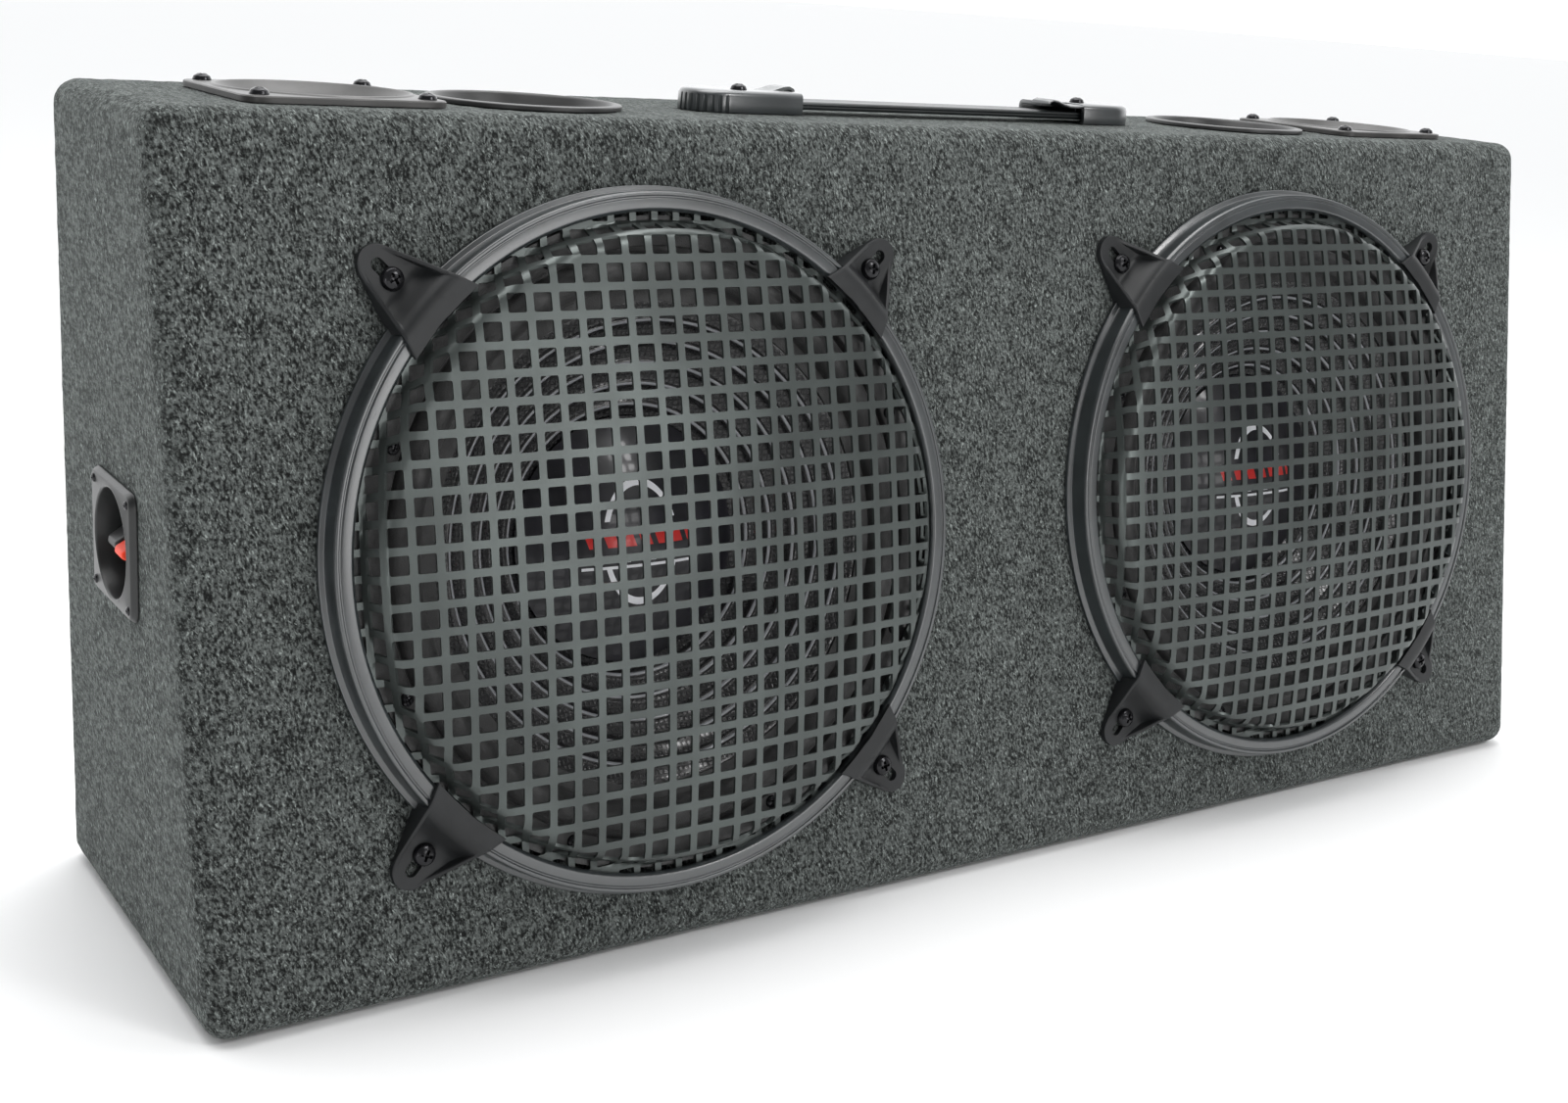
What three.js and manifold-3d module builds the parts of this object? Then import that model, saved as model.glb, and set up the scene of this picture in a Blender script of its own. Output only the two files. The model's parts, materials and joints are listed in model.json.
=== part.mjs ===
// A dual 12-inch car subwoofer box: a carpeted wedge cabinet with two woofers behind waffle grilles,
// two horn tweeters, two ports and a strap handle on top, and a push-terminal cup in its left side.
// Millimetres. The origin is the centre of the cabinet's base, +Z is up, and the woofers face -Y.
import * as THREE from "three";
import { ConvexGeometry } from "three/addons/geometries/ConvexGeometry.js";
import { mergeVertices } from "three/addons/utils/BufferGeometryUtils.js";
import Module from "manifold-3d";

const wasm = await Module();
wasm.setup();

// ---- driving dimensions -------------------------------------------------------------------------

// Gap between two pieces that touch or are glued.
const FIT = 0.3;

// Cabinet.
const WIDTH = 880;
const HEIGHT = 390;
const BASE_DEPTH = 224;
const LEAN = THREE.MathUtils.degToRad(10.5);
const EDGE_RADIUS = 12;
const CARPET = 3;
const BOARD = 16;
const TRAY_HEIGHT = 12;

// Woofers: the nominal 12-inch frame and what it carries, as radii and heights above the carpet.
const WOOFER_INSET = 227; // from the cabinet's side to the woofer's centre
const FRAME_RADIUS = 155;
const FRAME_FLANGE = 13;
const FRAME_SHEET = 2;
const CUTOUT_CLEARANCE = 2;
const FRAME_LEDGE_RADIUS = 92;
const FRAME_LEDGE_DEPTH = 60;
const FRAME_DEPTH = 82;
const FRAME_FOOT_RADIUS = 74;
const FRAME_TAPER = 6;
const FRAME_WINDOWS = 6;
const FRAME_WINDOW_SHARE = 0.64;
const SURROUND_SHEET = 1.2;
const SURROUND_ROLL = 8;
const CONE_LIP = 8;
const CONE_SHEET = 1.2;
const CONE_DEPTH = 57;
const CAP_RADIUS = 60;
const CAP_RISE = 17;
const CAP_SHEET = 1;
const COIL_RADIUS = 26;
const COIL_LENGTH = 46;
const COIL_NECK = 4;
const COIL_WINDING = 14;
const COIL_WALL = 0.9;
const COIL_GAP = 0.9;
const GASKET_EDGE = 2;
const GASKET_HEIGHT = 5.6;
const SPIDER_WAVE = 2;
const SPIDER_WAVES = 2;
const SPIDER_SHEET = 1;
const PLATE_RADIUS = 60;
const PLATE_THICKNESS = 8;
const MAGNET_RADIUS = 68;
const MAGNET_HOLE_RADIUS = 36;
const MAGNET_THICKNESS = 20;
const VENT_RADIUS = 8;

// Grille: a trim ring, the domed mesh under it, and clamps that press the ring to the baffle.
const RING_OVERHANG = 10;
const RING_FACE = 9.4;
const RING_HEIGHT = 14;
const RING_WALL = 3.4;
const RING_LIP = 3;
const RING_LIP_HEIGHT = 3;
const RING_CHAMFER = 1.4;
const MESH_SHEET = 1.5;
const MESH_SLANT = 4;
const MESH_RIM = 14;
const MESH_SHOULDER = 19;
const MESH_CROWN = 33;
const MESH_PITCH = 50.8;
const MESH_WEB = 16.8;
const CLAMPS = 4;
const CLAMP_REACH = 15;
const CLAMP_SHEET = 2.2;
const CLAMP_TAB = 3;
const CLAMP_END_RADIUS = 9;
const CLAMP_HALF_SPAN = 22; // at the saddle's inner corners
const CLAMP_SLOT_WIDTH = 6;
const CLAMP_SLOT_TRAVEL = 9;
const CLAMP_RIB = 2.2;
const SCREW_HEAD_RADIUS = 5.4;
const SCREW_HEAD_HEIGHT = 3.4;
const SCREW_SHANK_RADIUS = 2.1;
const SCREW_LENGTH = 18;
const PILOT_CLEARANCE = 0.5;

// Top panel: one line of tweeters, ports and handle, behind the top's front edge.
const TOP_ROW_INSET = 68;
const TWEETER_INSET = 96; // from the cabinet's side to the tweeter's centre
const TWEETER_RIM = 4.5;
const TWEETER_FLANGE_THICKNESS = 3;
const TWEETER_CORNER = 9;
const TWEETER_MOUTH_RADIUS = 42.5;
const TWEETER_THROAT_RADIUS = 15;
const TWEETER_HORN_DEPTH = 36;
const TWEETER_HORN_WALL = 2.5;
const TWEETER_PLUG_RADIUS = 11;
const TWEETER_PLUG_BELOW = 9;
const TWEETER_PLUG_NOSE = 8;
const TWEETER_FIN = 2.4;
const TWEETER_MOTOR_RADIUS = 26;
const TWEETER_MOTOR_HEIGHT = 26;
const PORT_INSET = 201; // from the cabinet's side to the port's centre
const PORT_BORE_RADIUS = 37;
const PORT_WALL = 3;
const PORT_FLANGE = 10.5;
const PORT_FLANGE_THICKNESS = 2.4;
const PORT_FLARE = 5;
const PORT_LENGTH = 76;
const PANEL_HOLE_CLEARANCE = 0.6;

// Strap handle.
const HANDLE_LENGTH = 300;
const HANDLE_CAP_LENGTH = 62;
const HANDLE_CAP_HEIGHT = 11;
const HANDLE_CAP_ROOF = 2.4;
const HANDLE_CAP_WALL = 3;
const STRAP_PLAY = 1;
const HANDLE_POCKET = 40;
const STRAP_WIDTH = 28;
const STRAP_THICKNESS = 4;
const STRAP_REST = 2.6;
const STRAP_END_GAP = 1;

// Terminal cup in the left side.
const CUP_Y = 11;
const CUP_Z = 194;
const CUP_RIM_SIDE = 7;
const CUP_RIM_END = 4.5;
const CUP_PLATE_THICKNESS = 3;
const CUP_CORNER = 5;
const CUP_RECESS_RADIUS = 24;
const CUP_RECESS_STRETCH = 1.04;
const CUP_RECESS_DEPTH = 22;
const CUP_WALL = 2;
const LEVER_WIDTH = 13;
const LEVER_SPACING = 17;
const LEVER_HEIGHT = 17;
const LEVER_REACH = 9;
const LEVER_BACK_GAP = 7;
const LEVER_TOE = 3.5;

// Facets round one turn.
const ROUND = 28;
const INNER_ROUND = 18;
const SMALL_ROUND = 8;
const EDGE_FACETS = 2;

// ---- worked-out places --------------------------------------------------------------------------

const SLOPE = HEIGHT / Math.cos(LEAN);
const TOP_SETBACK = HEIGHT * Math.tan(LEAN);
const BOARD_FACE = CARPET + FIT;
const BOARD_BACK = BOARD_FACE + BOARD;
const ROW_Y = TOP_SETBACK + TOP_ROW_INSET - BASE_DEPTH / 2;
const CUTOUT_RADIUS = FRAME_RADIUS - FRAME_FLANGE;
const FRAME_WALL_RADIUS = CUTOUT_RADIUS - CUTOUT_CLEARANCE;
const CONE_RADIUS = FRAME_WALL_RADIUS - FRAME_SHEET - 2 * SURROUND_ROLL;
const RING_RADIUS = FRAME_RADIUS + RING_OVERHANG;
const RING_INNER = RING_RADIUS - RING_FACE;
const RING_BORE = RING_RADIUS - RING_WALL;
const SURROUND_BASE = FIT + FRAME_SHEET + FIT;
const MESH_BASE = SURROUND_BASE + GASKET_HEIGHT + FIT;
const RING_UNDER = MESH_BASE + MESH_SHEET + FIT;
const MESH_EDGE_RADIUS = RING_BORE - 2 * FIT;
const MESH_WALL_RADIUS = MESH_EDGE_RADIUS - MESH_RIM;
const CONE_FACE = FRAME_SHEET + FIT;
const COIL_OUTER = COIL_RADIUS + COIL_WALL;
const POLE_RADIUS = COIL_RADIUS - COIL_GAP;
const COIL_BORE = COIL_OUTER + COIL_WALL + COIL_GAP;
const CLAMP_SCREW_RADIUS = RING_RADIUS + CLAMP_REACH;
const CLAMP_INNER = RING_INNER - 1;
const CLAMP_OUTER = RING_RADIUS + RING_LIP + FIT;
const CLAMP_BACK = CLAMP_OUTER + CLAMP_SHEET;
const CLAMP_FACE = RING_HEIGHT + FIT;
const CLAMP_TOP = CLAMP_FACE + CLAMP_SHEET;
const CLAMP_END = CLAMP_SCREW_RADIUS + CLAMP_SLOT_TRAVEL;

// ---- geometry helpers ---------------------------------------------------------------------------

function point(x, y) {
  return new THREE.Vector2(x, y);
}

// A closed geometry as a manifold-3d solid.
function solid(geometry) {
  const bare = geometry.clone();
  for (const name of Object.keys(bare.attributes)) if (name !== "position") bare.deleteAttribute(name);
  const merged = mergeVertices(bare, 1e-4);
  const corners = merged.index.array;
  const faces = [];
  for (let i = 0; i < corners.length; i += 3) {
    const [a, b, c] = corners.slice(i, i + 3);
    if (a !== b && b !== c && c !== a) faces.push(a, b, c);
  }
  const vertProperties = merged.attributes.position.array;
  return new wasm.Manifold(new wasm.Mesh({ numProp: 3, vertProperties, triVerts: new Uint32Array(faces) }));
}

function geometryOf(made) {
  const { vertProperties, triVerts } = made.getMesh();
  const geometry = new THREE.BufferGeometry();
  geometry.setAttribute("position", new THREE.BufferAttribute(vertProperties, 3));
  geometry.setIndex(new THREE.BufferAttribute(triVerts, 1));
  return geometry;
}

// A ring or disc turned about Z from a closed outline of [radius, height] points, either way round.
function turned(outline, facets = ROUND) {
  const points = outline.map(([radius, height]) => point(radius, height));
  if (THREE.ShapeUtils.area(points) < 0) points.reverse();
  points.push(points[0].clone());
  return solid(new THREE.LatheGeometry(points, facets).rotateX(Math.PI / 2));
}

function disc(radius, low, high, facets = ROUND) {
  return turned([[0, low], [radius, low], [radius, high], [0, high]], facets);
}

function prism(shape, low, high, curveSegments = 6) {
  const options = { depth: high - low, bevelEnabled: false, curveSegments };
  return solid(new THREE.ExtrudeGeometry(shape, options).translate(0, 0, low));
}

function block(sizeX, sizeY, sizeZ, x = 0, y = 0, z = 0) {
  return solid(new THREE.BoxGeometry(sizeX, sizeY, sizeZ).translate(x, y, z));
}

function polygon(corners) {
  return new THREE.Shape(corners.map(([x, y]) => point(x, y)));
}

function roundedRectangle(width, height, radius) {
  const [w, h] = [width / 2, height / 2];
  const shape = new THREE.Shape();
  shape.absarc(w - radius, h - radius, radius, 0, Math.PI / 2);
  shape.absarc(radius - w, h - radius, radius, Math.PI / 2, Math.PI);
  shape.absarc(radius - w, radius - h, radius, Math.PI, 1.5 * Math.PI);
  shape.absarc(w - radius, radius - h, radius, 1.5 * Math.PI, 2 * Math.PI);
  return shape;
}

// Moves a solid into a group's frame.
function placed(made, matrix) {
  return made.transform(matrix.elements);
}

function moved(made, x, y, z) {
  return made.translate([x, y, z]);
}

function mix(a, b, share) {
  return a + (b - a) * share;
}

// ---- scene graph --------------------------------------------------------------------------------

const subwoofer = new THREE.Group();

// The front group's XY plane is the carpet on the leaning front, with Y up the slope and Z outward.
const front = new THREE.Group();
front.position.y = -BASE_DEPTH / 2;
front.rotation.x = Math.PI / 2 - LEAN;
subwoofer.add(front);

// The top group's XY plane is the carpet on the top.
const top = new THREE.Group();
top.position.set(0, ROW_Y, HEIGHT);
subwoofer.add(top);

// The side group's XY plane is the carpet on the left side, with X to the front, Y up and Z outward.
const side = new THREE.Group();
side.position.set(-WIDTH / 2, CUP_Y, CUP_Z);
side.rotation.set(Math.PI / 2, -Math.PI / 2, 0);
subwoofer.add(side);

const woofers = [-1, 1].map((hand) => {
  const group = new THREE.Group();
  group.position.set(hand * (WIDTH / 2 - WOOFER_INSET), SLOPE / 2, 0);
  front.add(group);
  return { hand, name: hand < 0 ? "left" : "right", group };
});
const tweeters = woofers.map(({ hand, name }) => ({ name, x: hand * (WIDTH / 2 - TWEETER_INSET) }));
const ports = woofers.map(({ hand, name }) => ({ name, x: hand * (WIDTH / 2 - PORT_INSET) }));
const clampTurns = Array.from({ length: CLAMPS }, (_, i) => ((i + 0.5) * 2 * Math.PI) / CLAMPS);
subwoofer.updateMatrixWorld(true);

const finishes = {
  carpet: { color: 0x4a4c4d, roughness: 1, metalness: 0 },
  board: { color: 0xa98559, roughness: 0.9, metalness: 0 },
  frame: { color: 0x26282a, roughness: 0.55, metalness: 0.2 },
  foam: { color: 0x3a3632, roughness: 0.9, metalness: 0 },
  cone: { color: 0x17181a, roughness: 0.6, metalness: 0 },
  cap: { color: 0x101113, roughness: 0.2, metalness: 0 },
  copper: { color: 0xa8673a, roughness: 0.4, metalness: 0.8 },
  spider: { color: 0xb8903f, roughness: 0.95, metalness: 0 },
  steel: { color: 0x8b8e92, roughness: 0.35, metalness: 0.9 },
  ferrite: { color: 0x232425, roughness: 0.8, metalness: 0 },
  trim: { color: 0x33383a, roughness: 0.45, metalness: 0 },
  mesh: { color: 0x4b5150, roughness: 0.45, metalness: 0.3 },
  screw: { color: 0x131416, roughness: 0.3, metalness: 0.6 },
  horn: { color: 0x6b6763, roughness: 0.6, metalness: 0 },
  port: { color: 0x4c4b49, roughness: 0.6, metalness: 0 },
  red: { color: 0xe0301c, roughness: 0.4, metalness: 0 },
  black: { color: 0x17181a, roughness: 0.5, metalness: 0 },
};

function add(group, name, made, finish) {
  const mesh = new THREE.Mesh(geometryOf(made), new THREE.MeshStandardMaterial(finishes[finish]));
  mesh.name = name;
  group.add(mesh);
}

// ---- cabinet ------------------------------------------------------------------------------------

// The cabinet's wedge, inset from the carpet's outer faces, with its edges rounded to a radius.
function wedge(inset, radius) {
  const reach = inset + radius;
  const frontAt = (z) => -BASE_DEPTH / 2 + z * Math.tan(LEAN) + reach / Math.cos(LEAN);
  const decks = [[reach, new THREE.Vector3(0, 0, -1)], [HEIGHT - reach, new THREE.Vector3(0, 0, 1)]];
  const points = [];
  for (const hand of [-1, 1])
    for (const [z, vertical] of decks) {
      const faces = [
        [frontAt(z), new THREE.Vector3(0, -Math.cos(LEAN), Math.sin(LEAN))],
        [BASE_DEPTH / 2 - reach, new THREE.Vector3(0, 1, 0)],
      ];
      for (const [y, level] of faces) {
        const corner = new THREE.Vector3(hand * (WIDTH / 2 - reach), y, z);
        const normals = [vertical, level, new THREE.Vector3(hand, 0, 0)];
        points.push(...cornerPatch(normals).map((way) => way.multiplyScalar(radius).add(corner)));
      }
    }
  return solid(new ConvexGeometry(points));
}

// Unit vectors spread between three faces' normals.
function cornerPatch([first, second, third]) {
  const steps = Array.from({ length: EDGE_FACETS + 1 }, (_, i) => i / EDGE_FACETS);
  return steps.flatMap((u) => steps.map((v) => turnedTowards(turnedTowards(first, second, u), third, v)));
}

function turnedTowards(from, to, share) {
  const axis = new THREE.Vector3().crossVectors(from, to).normalize();
  return from.clone().applyAxisAngle(axis, from.angleTo(to) * share);
}

const everything = 2 * Math.max(WIDTH, HEIGHT, BASE_DEPTH);

function layer(low, high) {
  return block(everything, everything, high - low, 0, 0, (low + high) / 2);
}

function frontLayer(low, high) {
  return placed(layer(low, high), front.matrixWorld);
}

// Every hole that goes in through the carpet and the board behind it.
const throughCarpet = 2 * BOARD_BACK;
const holes = [];
for (const { group } of woofers) {
  const cut = (made) => holes.push(placed(made, group.matrixWorld));
  cut(disc(CUTOUT_RADIUS, -throughCarpet, throughCarpet));
  const pilot = disc(SCREW_SHANK_RADIUS + PILOT_CLEARANCE, -throughCarpet, throughCarpet, SMALL_ROUND);
  for (const turn of clampTurns)
    cut(moved(pilot, CLAMP_SCREW_RADIUS * Math.cos(turn), CLAMP_SCREW_RADIUS * Math.sin(turn), 0));
}
for (const { x } of tweeters) {
  const radius = TWEETER_MOUTH_RADIUS + TWEETER_HORN_WALL + PANEL_HOLE_CLEARANCE;
  holes.push(placed(moved(disc(radius, -throughCarpet, throughCarpet), x, 0, 0), top.matrixWorld));
}
for (const { x } of ports) {
  const radius = PORT_BORE_RADIUS + PORT_FLARE + PORT_WALL + PANEL_HOLE_CLEARANCE;
  holes.push(placed(moved(disc(radius, -throughCarpet, throughCarpet), x, 0, 0), top.matrixWorld));
}
const cupHoleRadius = CUP_RECESS_RADIUS + CUP_WALL + PANEL_HOLE_CLEARANCE;
const cupHole = disc(cupHoleRadius, -throughCarpet, throughCarpet).scale([1, CUP_RECESS_STRETCH, 1]);
holes.push(placed(cupHole, side.matrixWorld));
const drilled = wasm.Manifold.union(holes);

const boards = wedge(BOARD_FACE, EDGE_RADIUS - BOARD_FACE);
const inside = wedge(BOARD_BACK, 0);
const betweenDecks = layer(BOARD_BACK + FIT, HEIGHT - BOARD_BACK - FIT);
const sideInner = WIDTH / 2 - BOARD_BACK;
const betweenSides = block(2 * (sideInner - FIT), everything, everything, 0, 0, everything / 4);
const walls = boards.intersect(betweenDecks);
const backInner = BASE_DEPTH / 2 - BOARD_BACK;
const rear = block(everything, BOARD + BOARD_BACK, everything, 0, backInner + (BOARD + BOARD_BACK) / 2, 0);

add(subwoofer, "bottom_panel", boards.intersect(layer(0, BOARD_BACK)), "board");
add(subwoofer, "top_panel", boards.intersect(layer(HEIGHT - BOARD_BACK, HEIGHT)).subtract(drilled), "board");
for (const [name, hand] of [["left", -1], ["right", 1]]) {
  const slab = block(BOARD_BACK, everything, everything, hand * (sideInner + BOARD_BACK / 2), 0, 0);
  add(subwoofer, name + "_side_panel", walls.intersect(slab).subtract(drilled), "board");
}
const frontBoard = walls.intersect(betweenSides).intersect(frontLayer(-BOARD_BACK, 0));
add(subwoofer, "front_baffle", frontBoard.subtract(drilled), "board");
add(subwoofer, "back_panel", walls.intersect(betweenSides).intersect(rear), "board");
const dividerRoom = wedge(BOARD_BACK + FIT, 0);
add(subwoofer, "center_divider", dividerRoom.intersect(block(BOARD, everything, everything)), "board");

const carpet = wedge(0, EDGE_RADIUS).subtract(wedge(CARPET, EDGE_RADIUS - CARPET)).subtract(drilled);
add(subwoofer, "carpet_base", carpet.intersect(layer(0, TRAY_HEIGHT - FIT / 2)), "carpet");
add(subwoofer, "carpet_wrap", carpet.intersect(layer(TRAY_HEIGHT + FIT / 2, HEIGHT)), "carpet");

// ---- woofers ------------------------------------------------------------------------------------

// The frame: a flange on the carpet, a sloping wall with windows, a ledge for the spider and a foot.
function basket() {
  const wall = FRAME_WALL_RADIUS;
  const brow = wall - FRAME_TAPER;
  const browDepth = FRAME_LEDGE_DEPTH / 3;
  const outer = [
    [FRAME_RADIUS, FIT],
    [wall, FIT],
    [brow, -browDepth],
    [FRAME_LEDGE_RADIUS, -FRAME_LEDGE_DEPTH - FRAME_SHEET],
    [FRAME_FOOT_RADIUS + FRAME_SHEET, -FRAME_LEDGE_DEPTH - FRAME_SHEET],
    [FRAME_FOOT_RADIUS, -FRAME_DEPTH],
    [COIL_BORE + FRAME_SHEET, -FRAME_DEPTH],
  ];
  const inner = [
    [COIL_BORE + FRAME_SHEET, FRAME_SHEET - FRAME_DEPTH],
    [FRAME_FOOT_RADIUS - FRAME_SHEET, FRAME_SHEET - FRAME_DEPTH],
    [FRAME_FOOT_RADIUS, -FRAME_LEDGE_DEPTH],
    [FRAME_LEDGE_RADIUS - FRAME_SHEET / 2, -FRAME_LEDGE_DEPTH],
    [brow - FRAME_SHEET, -browDepth],
    [wall - FRAME_SHEET, FIT],
    [wall - FRAME_SHEET / 2, FIT + FRAME_SHEET],
    [FRAME_RADIUS, FIT + FRAME_SHEET],
  ];
  const halfSpan = (FRAME_WINDOW_SHARE * Math.PI) / FRAME_WINDOWS;
  const [near, far] = [FRAME_LEDGE_RADIUS + 2 * FRAME_SHEET, brow - 3 * FRAME_SHEET];
  const opening = new THREE.Shape();
  opening.absarc(0, 0, far, -halfSpan, halfSpan, false);
  opening.absarc(0, 0, near, halfSpan, -halfSpan, true);
  const cutter = prism(opening, -FRAME_DEPTH, 0, 3);
  const windows = Array.from({ length: FRAME_WINDOWS }, (_, i) =>
    cutter.rotate([0, 0, ((i + 0.5) * 360) / FRAME_WINDOWS]));
  return turned([...outer, ...inner], INNER_ROUND).subtract(wasm.Manifold.union(windows));
}

// A half-roll between the glue ring on the cone and the thick gasket edge on the frame's flange.
function surround() {
  const base = SURROUND_BASE;
  const middle = CONE_RADIUS + SURROUND_ROLL;
  const steps = 4;
  const roll = (radius, height) =>
    Array.from({ length: steps + 1 }, (_, i) => {
      const turn = (i * Math.PI) / steps;
      return [middle + radius * Math.cos(turn), height + radius * Math.sin(turn)];
    });
  const outside = roll(SURROUND_ROLL, base + SURROUND_SHEET);
  const within = roll(SURROUND_ROLL - SURROUND_SHEET, base).reverse();
  const outerEdge = FRAME_RADIUS - 1;
  const gasketEdge = middle + SURROUND_ROLL + GASKET_EDGE;
  const innerEdge = CONE_RADIUS - CONE_LIP + 1;
  return turned([
    [outerEdge, base + GASKET_HEIGHT], [gasketEdge, base + GASKET_HEIGHT],
    [gasketEdge, base + SURROUND_SHEET], ...outside, [innerEdge, base + SURROUND_SHEET],
    [innerEdge, base], ...within, [outerEdge, base],
  ], INNER_ROUND);
}

// The height of the cone's upper face at a radius.
function coneAt(radius) {
  const share = (CONE_RADIUS - CONE_LIP - radius) / (CONE_RADIUS - CONE_LIP - COIL_OUTER);
  return CONE_FACE - CONE_DEPTH * (0.8 * share + 0.2 * share * share);
}

function cone() {
  const shoulder = CONE_RADIUS - CONE_LIP;
  const radii = [0, 0.33, 0.66, 1].map((share) => mix(COIL_OUTER + FIT, shoulder, share));
  const upper = radii.map((radius) => [radius, coneAt(radius)]);
  const lower = radii.map((radius) => [radius, coneAt(radius) - CONE_SHEET]).reverse();
  return turned([...upper, [CONE_RADIUS, CONE_FACE], [CONE_RADIUS, CONE_FACE - CONE_SHEET], ...lower],
    INNER_ROUND);
}

function dustCap() {
  const base = coneAt(CAP_RADIUS) + 3 * FIT;
  const dome = (radius, rise) =>
    [1, 0.75, 0.4, 0].map((share) => [radius * share, base + rise * (1 - share * share)]);
  const outer = dome(CAP_RADIUS, CAP_RISE);
  const inner = dome(CAP_RADIUS - CAP_SHEET, CAP_RISE - CAP_SHEET).reverse();
  return turned([...outer, ...inner], INNER_ROUND);
}

function voiceCoil() {
  const head = coneAt(COIL_OUTER) + COIL_NECK;
  const foot = head - COIL_LENGTH;
  const winding = COIL_OUTER + COIL_WALL;
  return turned([
    [COIL_RADIUS, foot], [winding, foot], [winding, foot + COIL_WINDING],
    [COIL_OUTER, foot + COIL_WINDING], [COIL_OUTER, head], [COIL_RADIUS, head],
  ], INNER_ROUND);
}

function spider() {
  const base = FIT - FRAME_LEDGE_DEPTH;
  const start = COIL_OUTER + FIT;
  const end = FRAME_FOOT_RADIUS;
  const line = (lift) =>
    Array.from({ length: 2 * SPIDER_WAVES + 1 }, (_, i) => [
      mix(start, end, i / (2 * SPIDER_WAVES)),
      base + lift - (i % 2 ? SPIDER_WAVE : 0),
    ]);
  const rim = FRAME_LEDGE_RADIUS - 2 * FRAME_SHEET;
  const top = base + SPIDER_SHEET;
  return turned([...line(SPIDER_SHEET), [rim, top], [rim, base], ...line(0).reverse()], INNER_ROUND);
}

function topPlate() {
  const high = -FRAME_DEPTH - FIT;
  const low = high - PLATE_THICKNESS;
  return turned([
    [COIL_BORE, low], [PLATE_RADIUS, low], [PLATE_RADIUS, high], [COIL_BORE, high],
  ], INNER_ROUND);
}

function magnet() {
  const high = -FRAME_DEPTH - 2 * FIT - PLATE_THICKNESS;
  const low = high - MAGNET_THICKNESS;
  return turned([
    [MAGNET_HOLE_RADIUS, low], [MAGNET_RADIUS, low], [MAGNET_RADIUS, high], [MAGNET_HOLE_RADIUS, high],
  ], INNER_ROUND);
}

// The back plate and its vented pole.
function yoke() {
  const high = -FRAME_DEPTH - 3 * FIT - PLATE_THICKNESS - MAGNET_THICKNESS;
  const low = high - PLATE_THICKNESS;
  return turned([
    [VENT_RADIUS, low], [PLATE_RADIUS, low], [PLATE_RADIUS, high], [POLE_RADIUS, high],
    [POLE_RADIUS, -FRAME_DEPTH], [VENT_RADIUS, -FRAME_DEPTH],
  ], INNER_ROUND);
}

// ---- grilles ------------------------------------------------------------------------------------

function trimRing() {
  const lip = RING_RADIUS + RING_LIP;
  const lipTop = FIT + RING_LIP_HEIGHT;
  const chamferLow = RING_HEIGHT - RING_CHAMFER;
  return turned([
    [RING_BORE, FIT], [lip, FIT], [lip, lipTop - RING_CHAMFER / 2], [RING_RADIUS, lipTop],
    [RING_RADIUS, chamferLow], [RING_RADIUS - RING_CHAMFER, RING_HEIGHT],
    [RING_INNER + RING_CHAMFER, RING_HEIGHT], [RING_INNER, chamferLow],
    [RING_INNER, RING_UNDER], [RING_BORE, RING_UNDER],
  ]);
}

// A domed sheet with square openings, and a flat rim that the ring clamps.
function grilleMesh() {
  const rim = MESH_EDGE_RADIUS;
  const foot = MESH_WALL_RADIUS + MESH_SLANT;
  const crown = (radius, drop) => {
    const share = radius / MESH_WALL_RADIUS;
    return [radius, MESH_CROWN - drop - (MESH_CROWN - MESH_SHOULDER) * share * share];
  };
  const radii = [0, 0.4, 0.75, 1].map((share) => share * MESH_WALL_RADIUS);
  const shell = turned([
    [rim, MESH_BASE], [rim, MESH_BASE + MESH_SHEET], [foot, MESH_BASE + MESH_SHEET],
    ...radii.map((radius) => crown(radius, 0)).reverse(),
    ...radii.map((radius) => crown(radius, MESH_SHEET)).slice(0, -1),
    [MESH_WALL_RADIUS - MESH_SHEET, MESH_SHOULDER - MESH_SHEET], [foot - MESH_SHEET, MESH_BASE],
  ]);
  const opening = MESH_PITCH - MESH_WEB;
  const cells = Math.ceil(MESH_WALL_RADIUS / MESH_PITCH);
  const cutters = [];
  for (let i = -cells; i < cells; i++)
    for (let j = -cells; j < cells; j++) {
      const [x, y] = [(i + 0.5) * MESH_PITCH, (j + 0.5) * MESH_PITCH];
      const far = Math.hypot(Math.abs(x) + opening / 2, Math.abs(y) + opening / 2);
      if (far < MESH_WALL_RADIUS - MESH_SLANT)
        cutters.push(block(opening, opening, 4 * MESH_CROWN, x, y, MESH_CROWN));
    }
  return shell.subtract(wasm.Manifold.union(cutters));
}

// The clamp's outline from above: straight sides from the saddle's inner corners to its round end.
function clampOutline(inset) {
  const radius = CLAMP_END_RADIUS - inset;
  const half = CLAMP_HALF_SPAN - inset;
  const root = Math.sqrt(CLAMP_INNER ** 2 - CLAMP_HALF_SPAN ** 2);
  const reach = Math.hypot(root - CLAMP_END, half);
  const turn = Math.atan2(half, root - CLAMP_END) - Math.acos(radius / reach);
  const shape = new THREE.Shape();
  shape.moveTo(root, half);
  shape.lineTo(root, -half);
  shape.absarc(CLAMP_END, 0, radius, -turn, turn, false);
  return shape;
}

// A solid as wide as the clamp, from its side outline of [radius, height] points.
function clampSide(corners) {
  const across = prism(polygon(corners), -CLAMP_HALF_SPAN * 2, CLAMP_HALF_SPAN * 2);
  return across.rotate([90, 0, 0]);
}

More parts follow.
